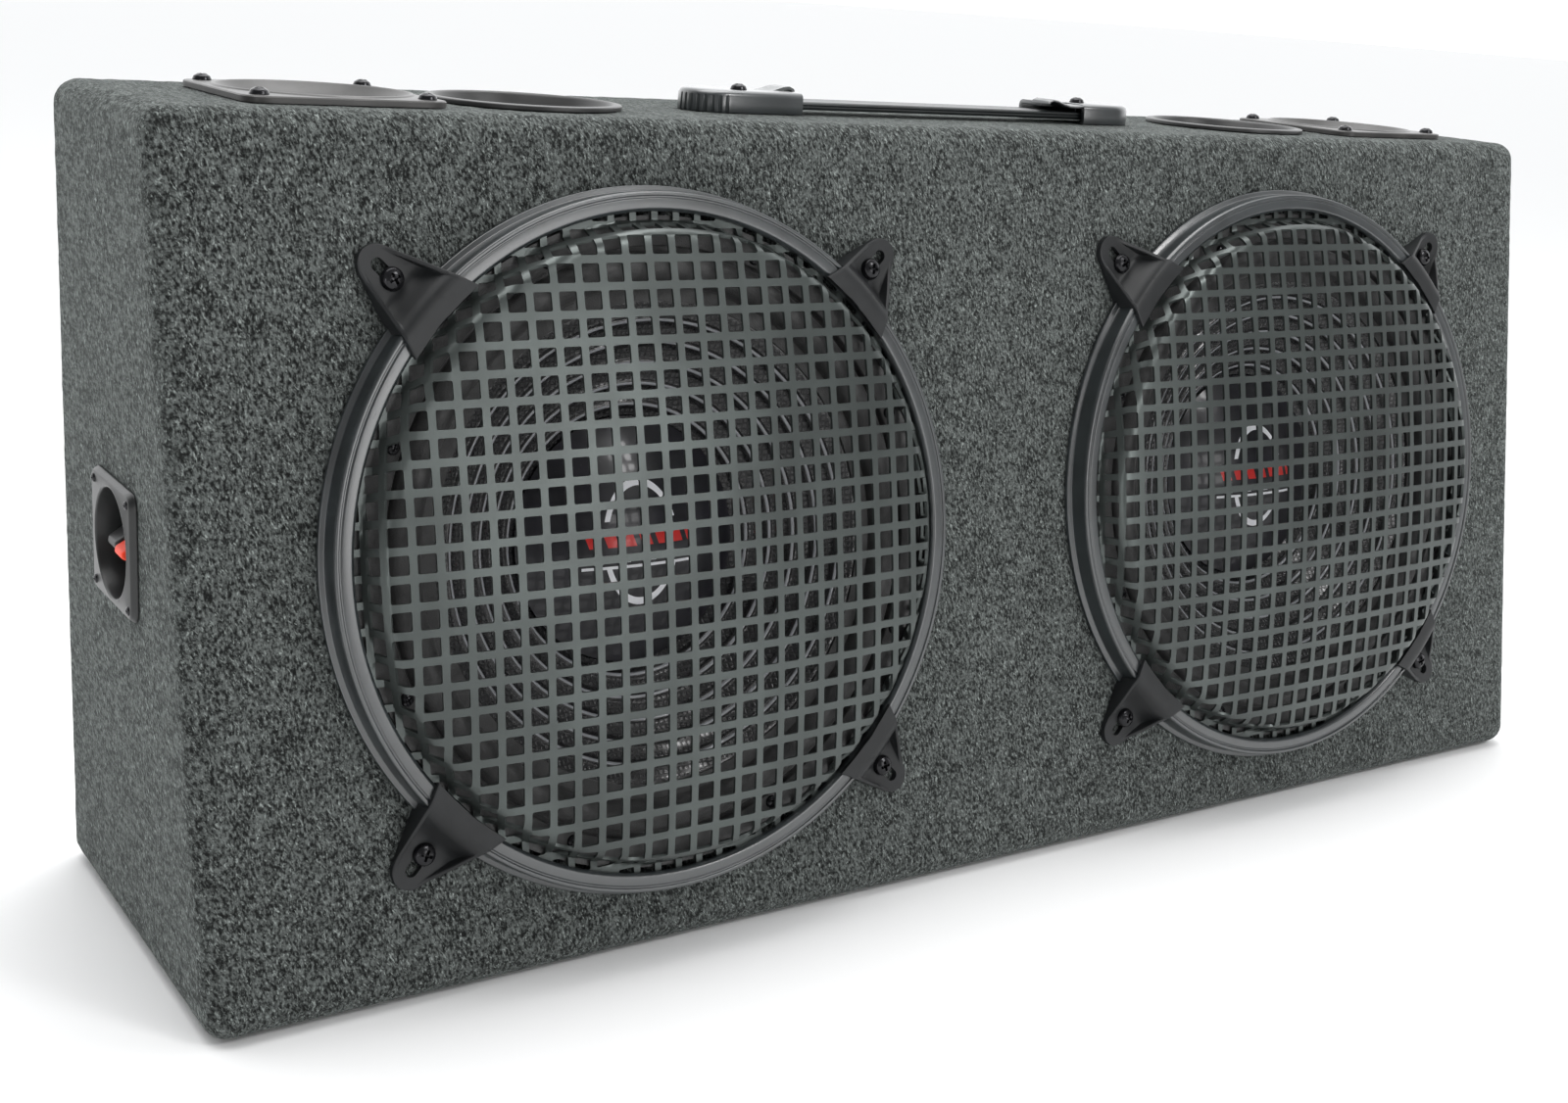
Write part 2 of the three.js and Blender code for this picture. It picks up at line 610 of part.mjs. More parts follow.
// The clamp, with X along the ring's radius: a saddle on the ring, a slotted tab and two ribs.
function clamp() {
  const halfTurn = (2 * CLAMP_HALF_SPAN) / CLAMP_INNER;
  const sector = (near, far, low, high) => {
    const shape = new THREE.Shape();
    shape.absarc(0, 0, far, -halfTurn, halfTurn, false);
    shape.absarc(0, 0, near, halfTurn, -halfTurn, true);
    return prism(shape, low, high, 6);
  };
  const floor = FIT + CLAMP_TAB;
  const tall = (inset) => prism(clampOutline(inset), FIT, CLAMP_TOP, 4);
  const saddle = sector(CLAMP_INNER, CLAMP_BACK, CLAMP_FACE, CLAMP_TOP).intersect(tall(0));
  const skirt = sector(CLAMP_OUTER, CLAMP_BACK, FIT, CLAMP_TOP).intersect(tall(0));
  const bore = disc(CLAMP_OUTER + CLAMP_SHEET / 4, -CLAMP_TOP, 2 * CLAMP_TOP, 2 * ROUND);
  const far = 2 * CLAMP_END;
  const tab = tall(0).intersect(clampSide([[0, FIT], [far, FIT], [far, floor], [0, floor]]));
  const headRoom = CLAMP_SCREW_RADIUS - SCREW_HEAD_RADIUS - 1;
  const ramp = tall(CLAMP_RIB / 2).intersect(clampSide([
    [0, FIT], [headRoom, FIT], [headRoom, floor],
    [mix(CLAMP_BACK, headRoom, 0.5), mix(floor, CLAMP_TOP, 0.3)],
    [CLAMP_BACK, CLAMP_TOP], [0, CLAMP_TOP],
  ]));
  const slope = clampSide([
    [0, FIT], [CLAMP_END, FIT], [CLAMP_END, floor], [CLAMP_BACK, CLAMP_TOP], [0, CLAMP_TOP],
  ]);
  const ribs = tall(0).subtract(tall(CLAMP_RIB)).intersect(slope);
  const slot = new THREE.Shape();
  slot.absarc(CLAMP_END, 0, CLAMP_SLOT_WIDTH / 2, -Math.PI / 2, Math.PI / 2, false);
  slot.absarc(CLAMP_SCREW_RADIUS, 0, CLAMP_SLOT_WIDTH / 2, Math.PI / 2, 1.5 * Math.PI, false);
  const body = wasm.Manifold.union([tab, ramp, ribs]).subtract(bore);
  return wasm.Manifold.union([saddle, skirt, body]).subtract(prism(slot, -CLAMP_TOP, 2 * CLAMP_TOP, 4));
}

// A pan-head wood screw, seated on the clamp's tab.
function clampScrew() {
  const seat = FIT + CLAMP_TAB + FIT;
  return turned([
    [0, seat - SCREW_LENGTH], [SCREW_SHANK_RADIUS, seat - SCREW_LENGTH + 2 * SCREW_SHANK_RADIUS],
    [SCREW_SHANK_RADIUS, seat],
    [SCREW_HEAD_RADIUS, seat], [SCREW_HEAD_RADIUS, seat + SCREW_HEAD_HEIGHT / 2],
    [SCREW_HEAD_RADIUS * 0.6, seat + SCREW_HEAD_HEIGHT], [0, seat + SCREW_HEAD_HEIGHT],
  ], SMALL_ROUND);
}

const wooferPieces = {
  basket: [basket(), "frame"],
  surround: [surround(), "foam"],
  cone: [cone(), "cone"],
  dust_cap: [dustCap(), "cap"],
  voice_coil: [voiceCoil(), "copper"],
  spider: [spider(), "spider"],
  top_plate: [topPlate(), "steel"],
  magnet: [magnet(), "ferrite"],
  yoke: [yoke(), "steel"],
  grille_ring: [trimRing(), "trim"],
  grille_mesh: [grilleMesh(), "mesh"],
};
const oneClamp = clamp();
const oneScrew = clampScrew();

for (const { name, group } of woofers) {
  for (const [piece, [made, finish]] of Object.entries(wooferPieces))
    add(group, name + "_" + piece, made, finish);
  clampTurns.forEach((turn, i) => {
    const arm = new THREE.Group();
    arm.rotation.z = turn;
    group.add(arm);
    add(arm, name + "_clamp_" + (i + 1), oneClamp, "trim");
    const spot = new THREE.Group();
    spot.position.x = CLAMP_SCREW_RADIUS;
    arm.add(spot);
    add(spot, name + "_clamp_screw_" + (i + 1), oneScrew, "screw");
  });
}

// ---- top panel ----------------------------------------------------------------------------------

// The horn: a square flange, a flare down to the throat, and a plug held by three fins.
function tweeterHorn() {
  const face = FIT + TWEETER_FLANGE_THICKNESS;
  const steps = [0, 0.3, 0.65, 1];
  const flare = (extra) =>
    steps.map((share) => {
      const span = TWEETER_MOUTH_RADIUS - TWEETER_THROAT_RADIUS;
      return [TWEETER_THROAT_RADIUS + extra + span * (1 - share) ** 2, face - TWEETER_HORN_DEPTH * share];
    });
  const shell = turned([...flare(0), ...flare(TWEETER_HORN_WALL).reverse()], INNER_ROUND);
  const side = 2 * (TWEETER_MOUTH_RADIUS + TWEETER_RIM);
  const plate = prism(roundedRectangle(side, side, TWEETER_CORNER), FIT, face, 3);
  const flange = plate.subtract(disc(TWEETER_MOUTH_RADIUS + FIT / 2, -face, 2 * face, INNER_ROUND));
  const head = face - TWEETER_PLUG_BELOW;
  const finTop = head - TWEETER_PLUG_NOSE;
  const foot = face - TWEETER_HORN_DEPTH;
  const plug = turned([
    [0, foot], [TWEETER_PLUG_RADIUS * 0.6, foot], [TWEETER_PLUG_RADIUS, finTop],
    [TWEETER_PLUG_RADIUS * 0.7, mix(finTop, head, 0.75)], [0, head],
  ], INNER_ROUND / 2);
  const finRoom = turned([...flare(TWEETER_HORN_WALL / 2), [0, foot], [0, face]], INNER_ROUND);
  const fins = [90, 210, 330].map((turn) =>
    block(TWEETER_MOUTH_RADIUS, TWEETER_FIN, finTop - foot, TWEETER_MOUTH_RADIUS / 2, 0, (finTop + foot) / 2)
      .rotate([0, 0, turn])
      .intersect(finRoom));
  return wasm.Manifold.union([shell, flange, plug, ...fins]);
}

function tweeterMotor() {
  const high = FIT + TWEETER_FLANGE_THICKNESS - TWEETER_HORN_DEPTH - FIT;
  const low = high - TWEETER_MOTOR_HEIGHT;
  return turned([
    [0, low], [TWEETER_MOTOR_RADIUS - 2, low], [TWEETER_MOTOR_RADIUS, low + 2],
    [TWEETER_MOTOR_RADIUS, high], [0, high],
  ], INNER_ROUND);
}

// The port: a flange, a flared mouth and a straight tube.
function portTube() {
  const face = FIT + PORT_FLANGE_THICKNESS;
  const low = face - PORT_LENGTH;
  const rim = PORT_BORE_RADIUS + PORT_FLANGE;
  const flare = [0, 0.5, 1].map((share) => [
    PORT_BORE_RADIUS + PORT_FLARE * (1 - share) ** 2,
    face - 2 * PORT_FLARE * share,
  ]);
  return turned([
    ...flare, [PORT_BORE_RADIUS, low], [PORT_BORE_RADIUS + PORT_WALL, low],
    [PORT_BORE_RADIUS + PORT_WALL, face - 2 * PORT_FLARE],
    [PORT_BORE_RADIUS + PORT_WALL + PORT_FLARE / 2, FIT], [rim, FIT],
    [rim, face - 1], [rim - 1, face],
  ], INNER_ROUND);
}

const horn = tweeterHorn();
const motor = tweeterMotor();
for (const { name, x } of tweeters) {
  const group = new THREE.Group();
  group.position.x = x;
  top.add(group);
  add(group, name + "_tweeter_horn", horn, "horn");
  add(group, name + "_tweeter_motor", motor, "ferrite");
}
const tube = portTube();
for (const { name, x } of ports) {
  const group = new THREE.Group();
  group.position.x = x;
  top.add(group);
  add(group, name + "_port", tube, "port");
}

// A handle end cap, round at its outer end, with a pocket for the strap that opens to +X.
function handleCap() {
  const pocketWidth = STRAP_WIDTH + 2 * STRAP_PLAY;
  const half = pocketWidth / 2 + HANDLE_CAP_WALL;
  const outline = new THREE.Shape();
  outline.moveTo(HANDLE_CAP_LENGTH, -half);
  outline.lineTo(HANDLE_CAP_LENGTH, half);
  outline.absarc(half, 0, half, Math.PI / 2, 1.5 * Math.PI, false);
  const body = prism(outline, FIT, HANDLE_CAP_HEIGHT, 8);
  const roof = HANDLE_CAP_HEIGHT - HANDLE_CAP_ROOF;
  return body.subtract(block(2 * HANDLE_POCKET, pocketWidth, 2 * roof, HANDLE_CAP_LENGTH, 0, 0));
}

function handleStrap() {
  const length = HANDLE_LENGTH - 2 * (HANDLE_CAP_LENGTH + STRAP_END_GAP);
  const section = roundedRectangle(STRAP_WIDTH, STRAP_THICKNESS, STRAP_THICKNESS / 2 - 0.1);
  const strap = prism(section, -length / 2, length / 2, 3).rotate([90, 0, 90]);
  return moved(strap, 0, 0, STRAP_REST + STRAP_THICKNESS / 2);
}

const cap = handleCap();
for (const [name, turn] of [["left", 0], ["right", Math.PI]]) {
  const group = new THREE.Group();
  group.rotation.z = turn;
  group.position.x = (-HANDLE_LENGTH / 2) * Math.cos(turn);
  top.add(group);
  add(group, name + "_handle_cap", cap, "trim");
}
add(top, "handle_strap", handleStrap(), "black");

// ---- terminal cup -------------------------------------------------------------------------------

function terminalCup() {
  const face = FIT + CUP_PLATE_THICKNESS;
  const width = 2 * (CUP_RECESS_RADIUS + CUP_RIM_SIDE);
  const height = 2 * (CUP_RECESS_RADIUS * CUP_RECESS_STRETCH + CUP_RIM_END);
  const plate = prism(roundedRectangle(width, height, CUP_CORNER), FIT, face, 3);
  const shell = disc(CUP_RECESS_RADIUS + CUP_WALL, face - CUP_RECESS_DEPTH - CUP_WALL, FIT + 1, INNER_ROUND);
  const recess = disc(CUP_RECESS_RADIUS, face - CUP_RECESS_DEPTH, 2 * face, INNER_ROUND);
  const stretch = [1, CUP_RECESS_STRETCH, 1];
  return plate.add(shell.scale(stretch)).subtract(recess.scale(stretch));
}

// A push lever: a wedge that is hinged at its top edge and swings into the cup.
function lever() {
  const back = FIT + CUP_PLATE_THICKNESS - CUP_RECESS_DEPTH + LEVER_BACK_GAP;
  const half = LEVER_HEIGHT / 2;
  const face = back + LEVER_REACH;
  const outline = polygon([
    [back, half], [back, -half], [back + LEVER_TOE, -half], [face, -half / 2],
    [face, -half / 8], [back + LEVER_TOE, half],
  ]);
  return prism(outline, -LEVER_WIDTH / 2, LEVER_WIDTH / 2).rotate([0, -90, 0]).rotate([0, 0, 180]);
}

add(side, "terminal_cup", terminalCup(), "black");
const pushLever = lever();
for (const [name, hand] of [["red", 1], ["black", -1]]) {
  const group = new THREE.Group();
  group.position.x = (hand * LEVER_SPACING) / 2;
  side.add(group);
  add(group, name + "_terminal_lever", pushLever, name);
}

export default subwoofer;
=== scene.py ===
# %% [markdown]
# # A carpeted car subwoofer box
# A wedge-shaped cabinet in charcoal carpet carries two 12-inch woofers behind waffle grilles,
# in its leaning front. Two horn tweeters, two ports and a strap handle are let into its top,
# and a push-terminal cup is in its left side.
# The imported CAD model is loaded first, because every piece below takes its place from it.

# %% Load the frame
import json
from math import asin, atan2, ceil, cos, degrees, hypot, pi, radians, sin, sqrt, tan

import bmesh
import bpy
from mathutils import Euler, Matrix, Vector, noise


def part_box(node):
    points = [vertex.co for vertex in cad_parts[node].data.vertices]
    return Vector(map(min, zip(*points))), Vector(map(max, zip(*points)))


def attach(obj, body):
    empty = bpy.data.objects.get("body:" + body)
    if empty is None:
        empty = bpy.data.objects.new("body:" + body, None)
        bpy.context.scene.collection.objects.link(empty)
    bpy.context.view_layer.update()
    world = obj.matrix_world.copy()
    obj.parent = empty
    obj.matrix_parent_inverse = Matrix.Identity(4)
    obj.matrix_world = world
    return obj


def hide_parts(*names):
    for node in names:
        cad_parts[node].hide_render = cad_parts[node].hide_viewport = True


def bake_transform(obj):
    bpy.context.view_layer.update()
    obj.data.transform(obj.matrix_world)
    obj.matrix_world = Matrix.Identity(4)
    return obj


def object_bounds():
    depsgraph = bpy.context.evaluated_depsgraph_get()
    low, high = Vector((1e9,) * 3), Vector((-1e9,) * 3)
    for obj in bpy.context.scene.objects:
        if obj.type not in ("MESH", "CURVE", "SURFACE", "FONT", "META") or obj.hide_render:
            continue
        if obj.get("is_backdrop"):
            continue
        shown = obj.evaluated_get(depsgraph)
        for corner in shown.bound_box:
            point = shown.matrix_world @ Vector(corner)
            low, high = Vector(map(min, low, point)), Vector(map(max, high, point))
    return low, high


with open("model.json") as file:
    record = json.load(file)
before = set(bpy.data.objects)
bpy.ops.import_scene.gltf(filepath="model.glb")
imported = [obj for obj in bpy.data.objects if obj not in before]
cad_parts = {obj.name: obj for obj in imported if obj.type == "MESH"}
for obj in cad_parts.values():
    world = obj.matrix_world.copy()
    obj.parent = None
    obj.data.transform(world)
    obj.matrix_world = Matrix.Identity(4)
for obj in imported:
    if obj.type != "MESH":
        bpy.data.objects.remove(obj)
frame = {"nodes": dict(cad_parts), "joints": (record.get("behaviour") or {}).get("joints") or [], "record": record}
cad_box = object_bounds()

# %% [markdown]
# Lengths below are written in millimetres, as on a drawing, and turned into Blender's metres at the last step.
# Local frames save a lot of trigonometry: one on each woofer's centre with Z out of the leaning front,
# one on the top's carpet under each part there, and one on the carpet of the left side.
# The lean comes from the axis of the cone's joint, and the places come from the CAD nodes' boxes.

# %% Local frames
MM = 0.001


def axes_at(origin, right, up):
    """A matrix whose X is right, whose Y is up, and whose Z comes out of the surface."""
    right, up = Vector(right).normalized(), Vector(up).normalized()
    out = right.cross(up)
    turn = Matrix((right, up, out)).transposed().to_4x4()
    return Matrix.Translation(origin) @ turn


def box_centre(node):
    low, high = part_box(node)
    return (low + high) / 2


cone_joint = next(joint for joint in frame["joints"] if joint["name"] == "left_cone_travel")
front_out = Vector(cone_joint["axis"]).normalized()
lean = asin(front_out.z)
shell_low, shell_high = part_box("carpet_wrap")
shell_low.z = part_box("carpet_base")[0].z

half_up = (shell_high.z + shell_low.z) / 2
woofer_place = {}
for hand in ("left", "right"):
    on_axis = box_centre(hand + "_magnet")
    centre = on_axis + front_out * (half_up - on_axis.z) / front_out.z
    woofer_place[hand] = axes_at(centre, (1, 0, 0), (0, sin(lean), cos(lean)))
front_foot = woofer_place["left"].translation.y - half_up * tan(lean)


def top_place(node):
    """The frame on the top's carpet, under a node's middle."""
    centre = box_centre(node)
    return axes_at((centre.x, centre.y, shell_high.z), (1, 0, 0), (0, 1, 0))


cup_centre = box_centre("terminal_cup")
side_place = axes_at((shell_low.x, cup_centre.y, cup_centre.z), (0, -1, 0), (0, 0, 1))
print("front leans back", round(degrees(lean), 2), "degrees; left woofer at",
      [round(c, 4) for c in woofer_place["left"].translation])

# %% [markdown]
# The camera stands low and to the left of the box, far enough that its long side only narrows gently.
# A slightly long lens and no shift or depth of field keep it the same in every other view.

# %% Camera
camera_data = bpy.data.cameras.new("camera")
camera_data.sensor_width = 36
camera_data.lens = 44.65
camera = bpy.data.objects.new("camera", camera_data)
bpy.context.scene.collection.objects.link(camera)
camera.location = (-0.6705, -0.8386, 0.4529)
camera.rotation_euler = Euler((radians(73.82), radians(-4.15), radians(-33.67)))
bpy.context.scene.camera = camera
print("camera", round((camera.location - box_centre("front_baffle")).length, 3), "m from the front's middle")

# %% [markdown]
# A pale floor and a broad light overhead stand for the white table of a studio.
# The world is bright behind the box and dimmer in front of it, as with a lit backdrop, so the edges glow.
# A small key light and a soft fill give the front its highlights, and a narrow strip grazes the left side.

# %% Floor and lights
def soft_light(name, spot, target, size, watts):
    data = bpy.data.lights.new(name, "AREA")
    data.shape = "RECTANGLE"
    data.size, data.size_y = size
    data.energy = watts
    light = bpy.data.objects.new(name, data)
    bpy.context.scene.collection.objects.link(light)
    light.location = spot
    light.rotation_euler = (Vector(target) - Vector(spot)).to_track_quat("-Z", "Y").to_euler()


soft_light("top_light", (-0.1, 0.2, 2.1), (0, 0, 0.3), (2.2, 1.2), 30)
soft_light("key_light", (0.7, -1.5, 1.75), (-0.1, 0, 0.2), (0.5, 0.4), 13)
soft_light("front_fill", (0.6, -2.3, 0.7), (-0.1, 0, 0.2), (0.9, 0.9), 12)
soft_light("left_strip", (-1.55, -1.6, 0.35), (0, 0, 0.2), (0.12, 0.8), 3)

world = bpy.data.worlds.new("studio")
world.use_nodes = True
backdrop = world.node_tree
ways = backdrop.nodes.new("ShaderNodeTexCoord")
toward = backdrop.nodes.new("ShaderNodeVectorMath")
toward.operation = "DOT_PRODUCT"
toward.inputs[1].default_value = (0.4, 0.9, 0)
behind = backdrop.nodes.new("ShaderNodeMapRange")
behind.interpolation_type = "SMOOTHSTEP"
for socket, value in (("From Min", -0.15), ("From Max", 0.35), ("To Min", 0.30), ("To Max", 1.9)):
    behind.inputs[socket].default_value = value
backdrop.links.new(ways.outputs["Generated"], toward.inputs[0])
backdrop.links.new(toward.outputs["Value"], behind.inputs["Value"])
backdrop.links.new(behind.outputs["Result"], backdrop.nodes["Background"].inputs["Strength"])
backdrop.nodes["Background"].inputs["Color"].default_value = (0.98, 0.99, 1.0, 1)
bpy.context.scene.world = world
bpy.context.scene.view_settings.view_transform = "Standard"

floor_mesh = bpy.data.meshes.new("floor")
reach = 60.0
floor_mesh.from_pydata([(-reach, -reach, 0), (reach, -reach, 0), (reach, reach, 0), (-reach, reach, 0)], [],
                       [(0, 1, 2, 3)])
floor = bpy.data.objects.new("floor", floor_mesh)
bpy.context.scene.collection.objects.link(floor)
floor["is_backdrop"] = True

# %% [markdown]
# Finishes are node materials. Writing them as long lists of nodes and links hides what they do,
# so a small class wraps a socket and lets Python's operators add the Math nodes.
# A Finish owns one material: node() adds any other node, with its settings first,
# and its sockets' values or links next.

# %% Shader sockets as Python values
class Wire:
    """A node's output that Python's operators can do maths with."""

    def __init__(self, finish, socket):
        self.finish, self.socket = finish, socket

    def maths(self, operation, *terms):
        return self.finish.node("ShaderNodeMath", {"operation": operation}, dict(enumerate(terms)))

    def __add__(self, other):
        return self.maths("ADD", self, other)

    def __sub__(self, other):
        return self.maths("SUBTRACT", self, other)

    def __rsub__(self, other):
        return self.maths("SUBTRACT", other, self)

    def __mul__(self, other):
        return self.maths("MULTIPLY", self, other)

    def __truediv__(self, other):
        return self.maths("DIVIDE", self, other)

    def __pow__(self, other):
        return self.maths("POWER", self, other)

    def __gt__(self, other):
        return self.maths("GREATER_THAN", self, other)

    def __lt__(self, other):
        return self.maths("LESS_THAN", self, other)

    def size(self):
        return self.maths("ABSOLUTE", self)

    def wave(self):
        return self.maths("SINE", self)

    __radd__, __rmul__ = __add__, __mul__


class Finish:
    """A node material for one of the record's material slots."""

    def __init__(self, name):
        self.material = bpy.data.materials.new(name)
        self.material.use_nodes = True
        self.tree = self.material.node_tree
        self.shader = self.tree.nodes["Principled BSDF"]
        self.spot = self.node("ShaderNodeTexCoord", output="Object")

    def set_socket(self, socket, value):
        if isinstance(value, Wire):
            self.tree.links.new(value.socket, socket)
        else:
            socket.default_value = value

    def node(self, kind, settings=None, sockets=None, output=0):
        made = self.tree.nodes.new(kind)
        for name, value in (settings or {}).items():
            setattr(made, name, value)
        for name, value in (sockets or {}).items():
            self.set_socket(made.inputs[name], value)
        return Wire(self, made.outputs[output])

    def stretched(self, factors, turn=0.0):
        """The piece's own coordinates, turned about all three axes and scaled axis by axis."""
        turned_spot = self.spot
        if turn:
            turned_spot = self.node("ShaderNodeVectorRotate", {"rotation_type": "EULER_XYZ"},
                                    {"Vector": self.spot, "Rotation": (turn, turn * 0.7, turn * 1.3)})
        return self.node("ShaderNodeVectorMath", {"operation": "MULTIPLY"}, {0: turned_spot, 1: factors})

    def grain(self, size, detail=2.0, factors=(1, 1, 1), turn=0.0, rough=0.5):
        """Cloudy noise from 0 to 1 whose lumps are about this many millimetres wide."""
        sockets = {"Vector": self.stretched(factors, turn), "Scale": 1 / (size * MM),
                   "Detail": detail, "Roughness": rough}
        return self.node("ShaderNodeTexNoise", None, sockets)

    def axis(self, name):
        return self.node("ShaderNodeSeparateXYZ", None, {"Vector": self.spot}, output=name)

    def any_of(self, *masks):
        whole = masks[0]
        for mask in masks[1:]:
            whole = whole.maths("MAXIMUM", whole, mask)
        return whole

    def ease(self, value, low, high):
        """A smooth step from 0 to 1 as the value goes from low to high."""
        settings = {"interpolation_type": "SMOOTHSTEP"}
        sockets = {"Value": value, "From Min": low, "From Max": high}
        return self.node("ShaderNodeMapRange", settings, sockets)

    def blend(self, share, first, second):
        """The second colour over the first by a share from 0 to 1."""
        sockets = {0: share, 6: colour(first), 7: colour(second)}
        return self.node("ShaderNodeMix", {"data_type": "RGBA"}, sockets, output=2)

    def bump(self, height, depth, strength):
        """Relief whose height of 1 is this many millimetres."""
        sockets = {"Height": height, "Distance": depth * MM, "Strength": strength}
        return self.node("ShaderNodeBump", None, sockets)

    def shade(self, **sockets):
        """Sets the shader's sockets, whose names are written with _ for a space."""
        for name, value in sockets.items():
            self.set_socket(self.shader.inputs[name.replace("_", " ")], colour(value))
        return self.material


def colour(value):
    """Adds the alpha that a colour socket wants; other values pass unchanged."""
    return (*value, 1) if isinstance(value, tuple) else value


table_top = Finish("table_top")
table_top.shade(Base_Color=(0.93, 0.93, 0.93), Roughness=0.9 + (table_top.grain(400.0) - 0.5) * 0.1)
floor_mesh.materials.append(table_top.material)

# %% [markdown]
# ## Finishes
# The carpet is a needle-punched felt of black, grey and pale fibres. From a step away it is a mottled charcoal,
# and close up it is a mat of short strokes that lie in every direction.
# Four stretched noises, each turned another way, make the strokes. Finer tufts fill the mat between them,
# and a broad noise makes them clump.
# Sheen, a constant on the shader, lightens the nap at grazing angles, which is why the edges look pale.

# %% Carpet
def carpet_finish():
    f = Finish("carpet")
    strokes = [f.grain(1.0, 2.0, factors, turn) for factors, turn in (
        ((1, 0.4, 0.3), 0.5), ((0.35, 1, 0.4), 0.9), ((0.4, 0.3, 1), 2.1), ((1, 1, 0.3), 3.6))]
    tufts = f.grain(1.7, 3.0, (1, 0.28, 1), rough=0.7)
    clumps = f.grain(8.0, 2.0, (1, 0.5, 1))
    mat = (strokes[0] + strokes[1] + strokes[2] + tufts * 2) / 5 + (clumps - 0.5) * 0.12
    body = f.blend(f.ease(mat, 0.42, 0.59), (0.0075, 0.0083, 0.008), (0.126, 0.138, 0.133))
    pale = f.any_of(*[f.ease(stroke, 0.61, 0.72) for stroke in strokes])
    pale = pale * f.ease(f.grain(2.0, 1.0), 0.40, 0.60)
    frosted = f.blend(pale * 0.9, body, (0.33, 0.365, 0.35))
    dark = f.ease(f.grain(1.1, 2.0, (0.6, 1, 0.6), 1.3), 0.58, 0.70)
    mixed = f.blend(dark * 0.8, frosted, (0.005, 0.006, 0.0055))
    relief = mat + pale * 0.3
    return f.shade(Base_Color=mixed, Roughness=0.96, Specular_IOR_Level=0.15,
                   Sheen_Weight=0.18, Sheen_Roughness=0.45, Sheen_Tint=(0.74, 0.81, 0.78),
                   Normal=f.bump(relief, 2.2, 0.9))


# %% [markdown]
# Most of the hard parts are moulded plastic. One function covers them: a body colour that drifts slightly,
# a fine moulded grain in the relief, cloudy gloss, and faint scuffs that are rougher than the skin round them.

# %% Moulded plastics
def moulded(name, shade, rough, grain=0.35, depth=0.03, drift=0.25, scuffs=0.12, **constants):
    f = Finish(name)
    cloud = f.grain(24.0, 3.0)
    scratch = f.ease(f.grain(0.9, 2.0, (1, 0.06, 0.4), 0.6), 0.66, 0.74)
    lighter = tuple(min(1.0, part * (1 + drift)) for part in shade)
    darker = tuple(part * (1 - drift) for part in shade)
    tint = f.blend(f.ease(cloud, 0.35, 0.65), darker, lighter)
    gloss = rough + (cloud - 0.5) * 0.12 + scratch * scuffs
    return f.shade(Base_Color=tint, Roughness=gloss,
                   Normal=f.bump(f.grain(grain, 2.0) + scratch * 0.3, depth, 0.6), **constants)


# %% [markdown]
# The grilles are stamped steel under satin powder coat, which has a fine orange-peel skin.
# In broad clouds the coat is thinner and a little more metallic.
# The magnets' plates are bare plated steel, with fine lines from the lathe and a few dull stains.

# %% Metals
def powder_coat(name, shade, rough, metal, peel=1.1):
    f = Finish(name)
    skin = f.grain(peel, 2.0)
    cloud = f.grain(38.0, 3.0)
    darker, lighter = tuple(part * 0.82 for part in shade), tuple(part * 1.18 for part in shade)
    tint = f.blend(f.ease(cloud, 0.3, 0.7), darker, lighter)
    return f.shade(Base_Color=tint, Metallic=metal + (cloud - 0.5) * 0.2,
                   Roughness=rough + (skin - 0.5) * 0.12, Normal=f.bump(skin, 0.05, 0.5))


def bare_metal(name, shade, rough, brushed=(1, 1, 0.05)):
    f = Finish(name)
    lines = f.grain(0.6, 3.0, brushed)
    stain = f.ease(f.grain(9.0, 4.0), 0.5, 0.75)
    tint = f.blend(stain * 0.5, shade, tuple(part * 0.55 for part in shade))
    return f.shade(Base_Color=tint, Metallic=1.0 - stain * 0.15,
                   Roughness=rough + (lines - 0.5) * 0.2 + stain * 0.15, Normal=f.bump(lines, 0.02, 0.5))


# %% [markdown]
# The cone is pressed pulp with a honeycomb emboss and a glossy black dip.
# Its concentric ribs are real geometry. The finish adds the cells, which are Voronoi cells of even size
# in the cone's own plane. It paints their ridges and the ribs a little lighter, as a faint painted highlight,
# and paints a pale line along the crest of each rib, which is a painted highlight.

# %% Cone paper
RIBS, RIB_STEP, RIB_RISE, RIB_HALF = (66.0, 76.0, 86.0, 96.0, 106.0), 10.0, 2.1, 2.3


def cone_finish():
    f = Finish("cone_paper")
    flat_spot = f.stretched((1, 1, 0))
    radius = (f.axis("X") ** 2 + f.axis("Y") ** 2) ** 0.5
    ripple = ((radius - RIBS[0] * MM) * (2 * pi / (RIB_STEP * MM)) + pi / 2).wave()
    on_rib = f.ease(ripple, 0.1, 0.6)
    cells = f.node("ShaderNodeTexVoronoi", {"feature": "DISTANCE_TO_EDGE"},
                   {"Vector": flat_spot, "Scale": 1 / (2.7 * MM), "Randomness": 0.25})
    ridge = f.any_of(f.ease(cells, 0.04, 0.26), on_rib)
    fibre = f.grain(0.8, 3.0, (1, 0.4, 1), 0.4)
    # The cells' ridges and the ribs are painted a little lighter: a faint painted highlight on the emboss.
    pulp = f.blend(ridge, (0.001, 0.001, 0.002), (0.010, 0.010, 0.011))
    ribbed = f.ease(radius, (RIBS[0] - 5) * MM, (RIBS[0] - 4) * MM)
    # A pale line on each rib's crest, from the first rib outward, is a painted highlight.
    tint = f.blend(f.ease(ripple, 0.88, 0.98) * ribbed, pulp, (0.30, 0.31, 0.33))
    # Dust specks go over the pulp and its painted highlights.
    dust_and_painted_highlights = f.blend(f.ease(f.grain(14.0, 4.0), 0.5, 0.8) * 0.15, tint, (0.03, 0.03, 0.03))
    return f.shade(Base_Color=dust_and_painted_highlights, Roughness=0.26 + (fibre - 0.5) * 0.08 + (1 - ridge) * 0.1, IOR=1.6,
                   Coat_Weight=0.1 + ridge * 0.2, Coat_Roughness=0.12,
                   Normal=f.bump(ridge + fibre * 0.05, 0.35, 0.4))


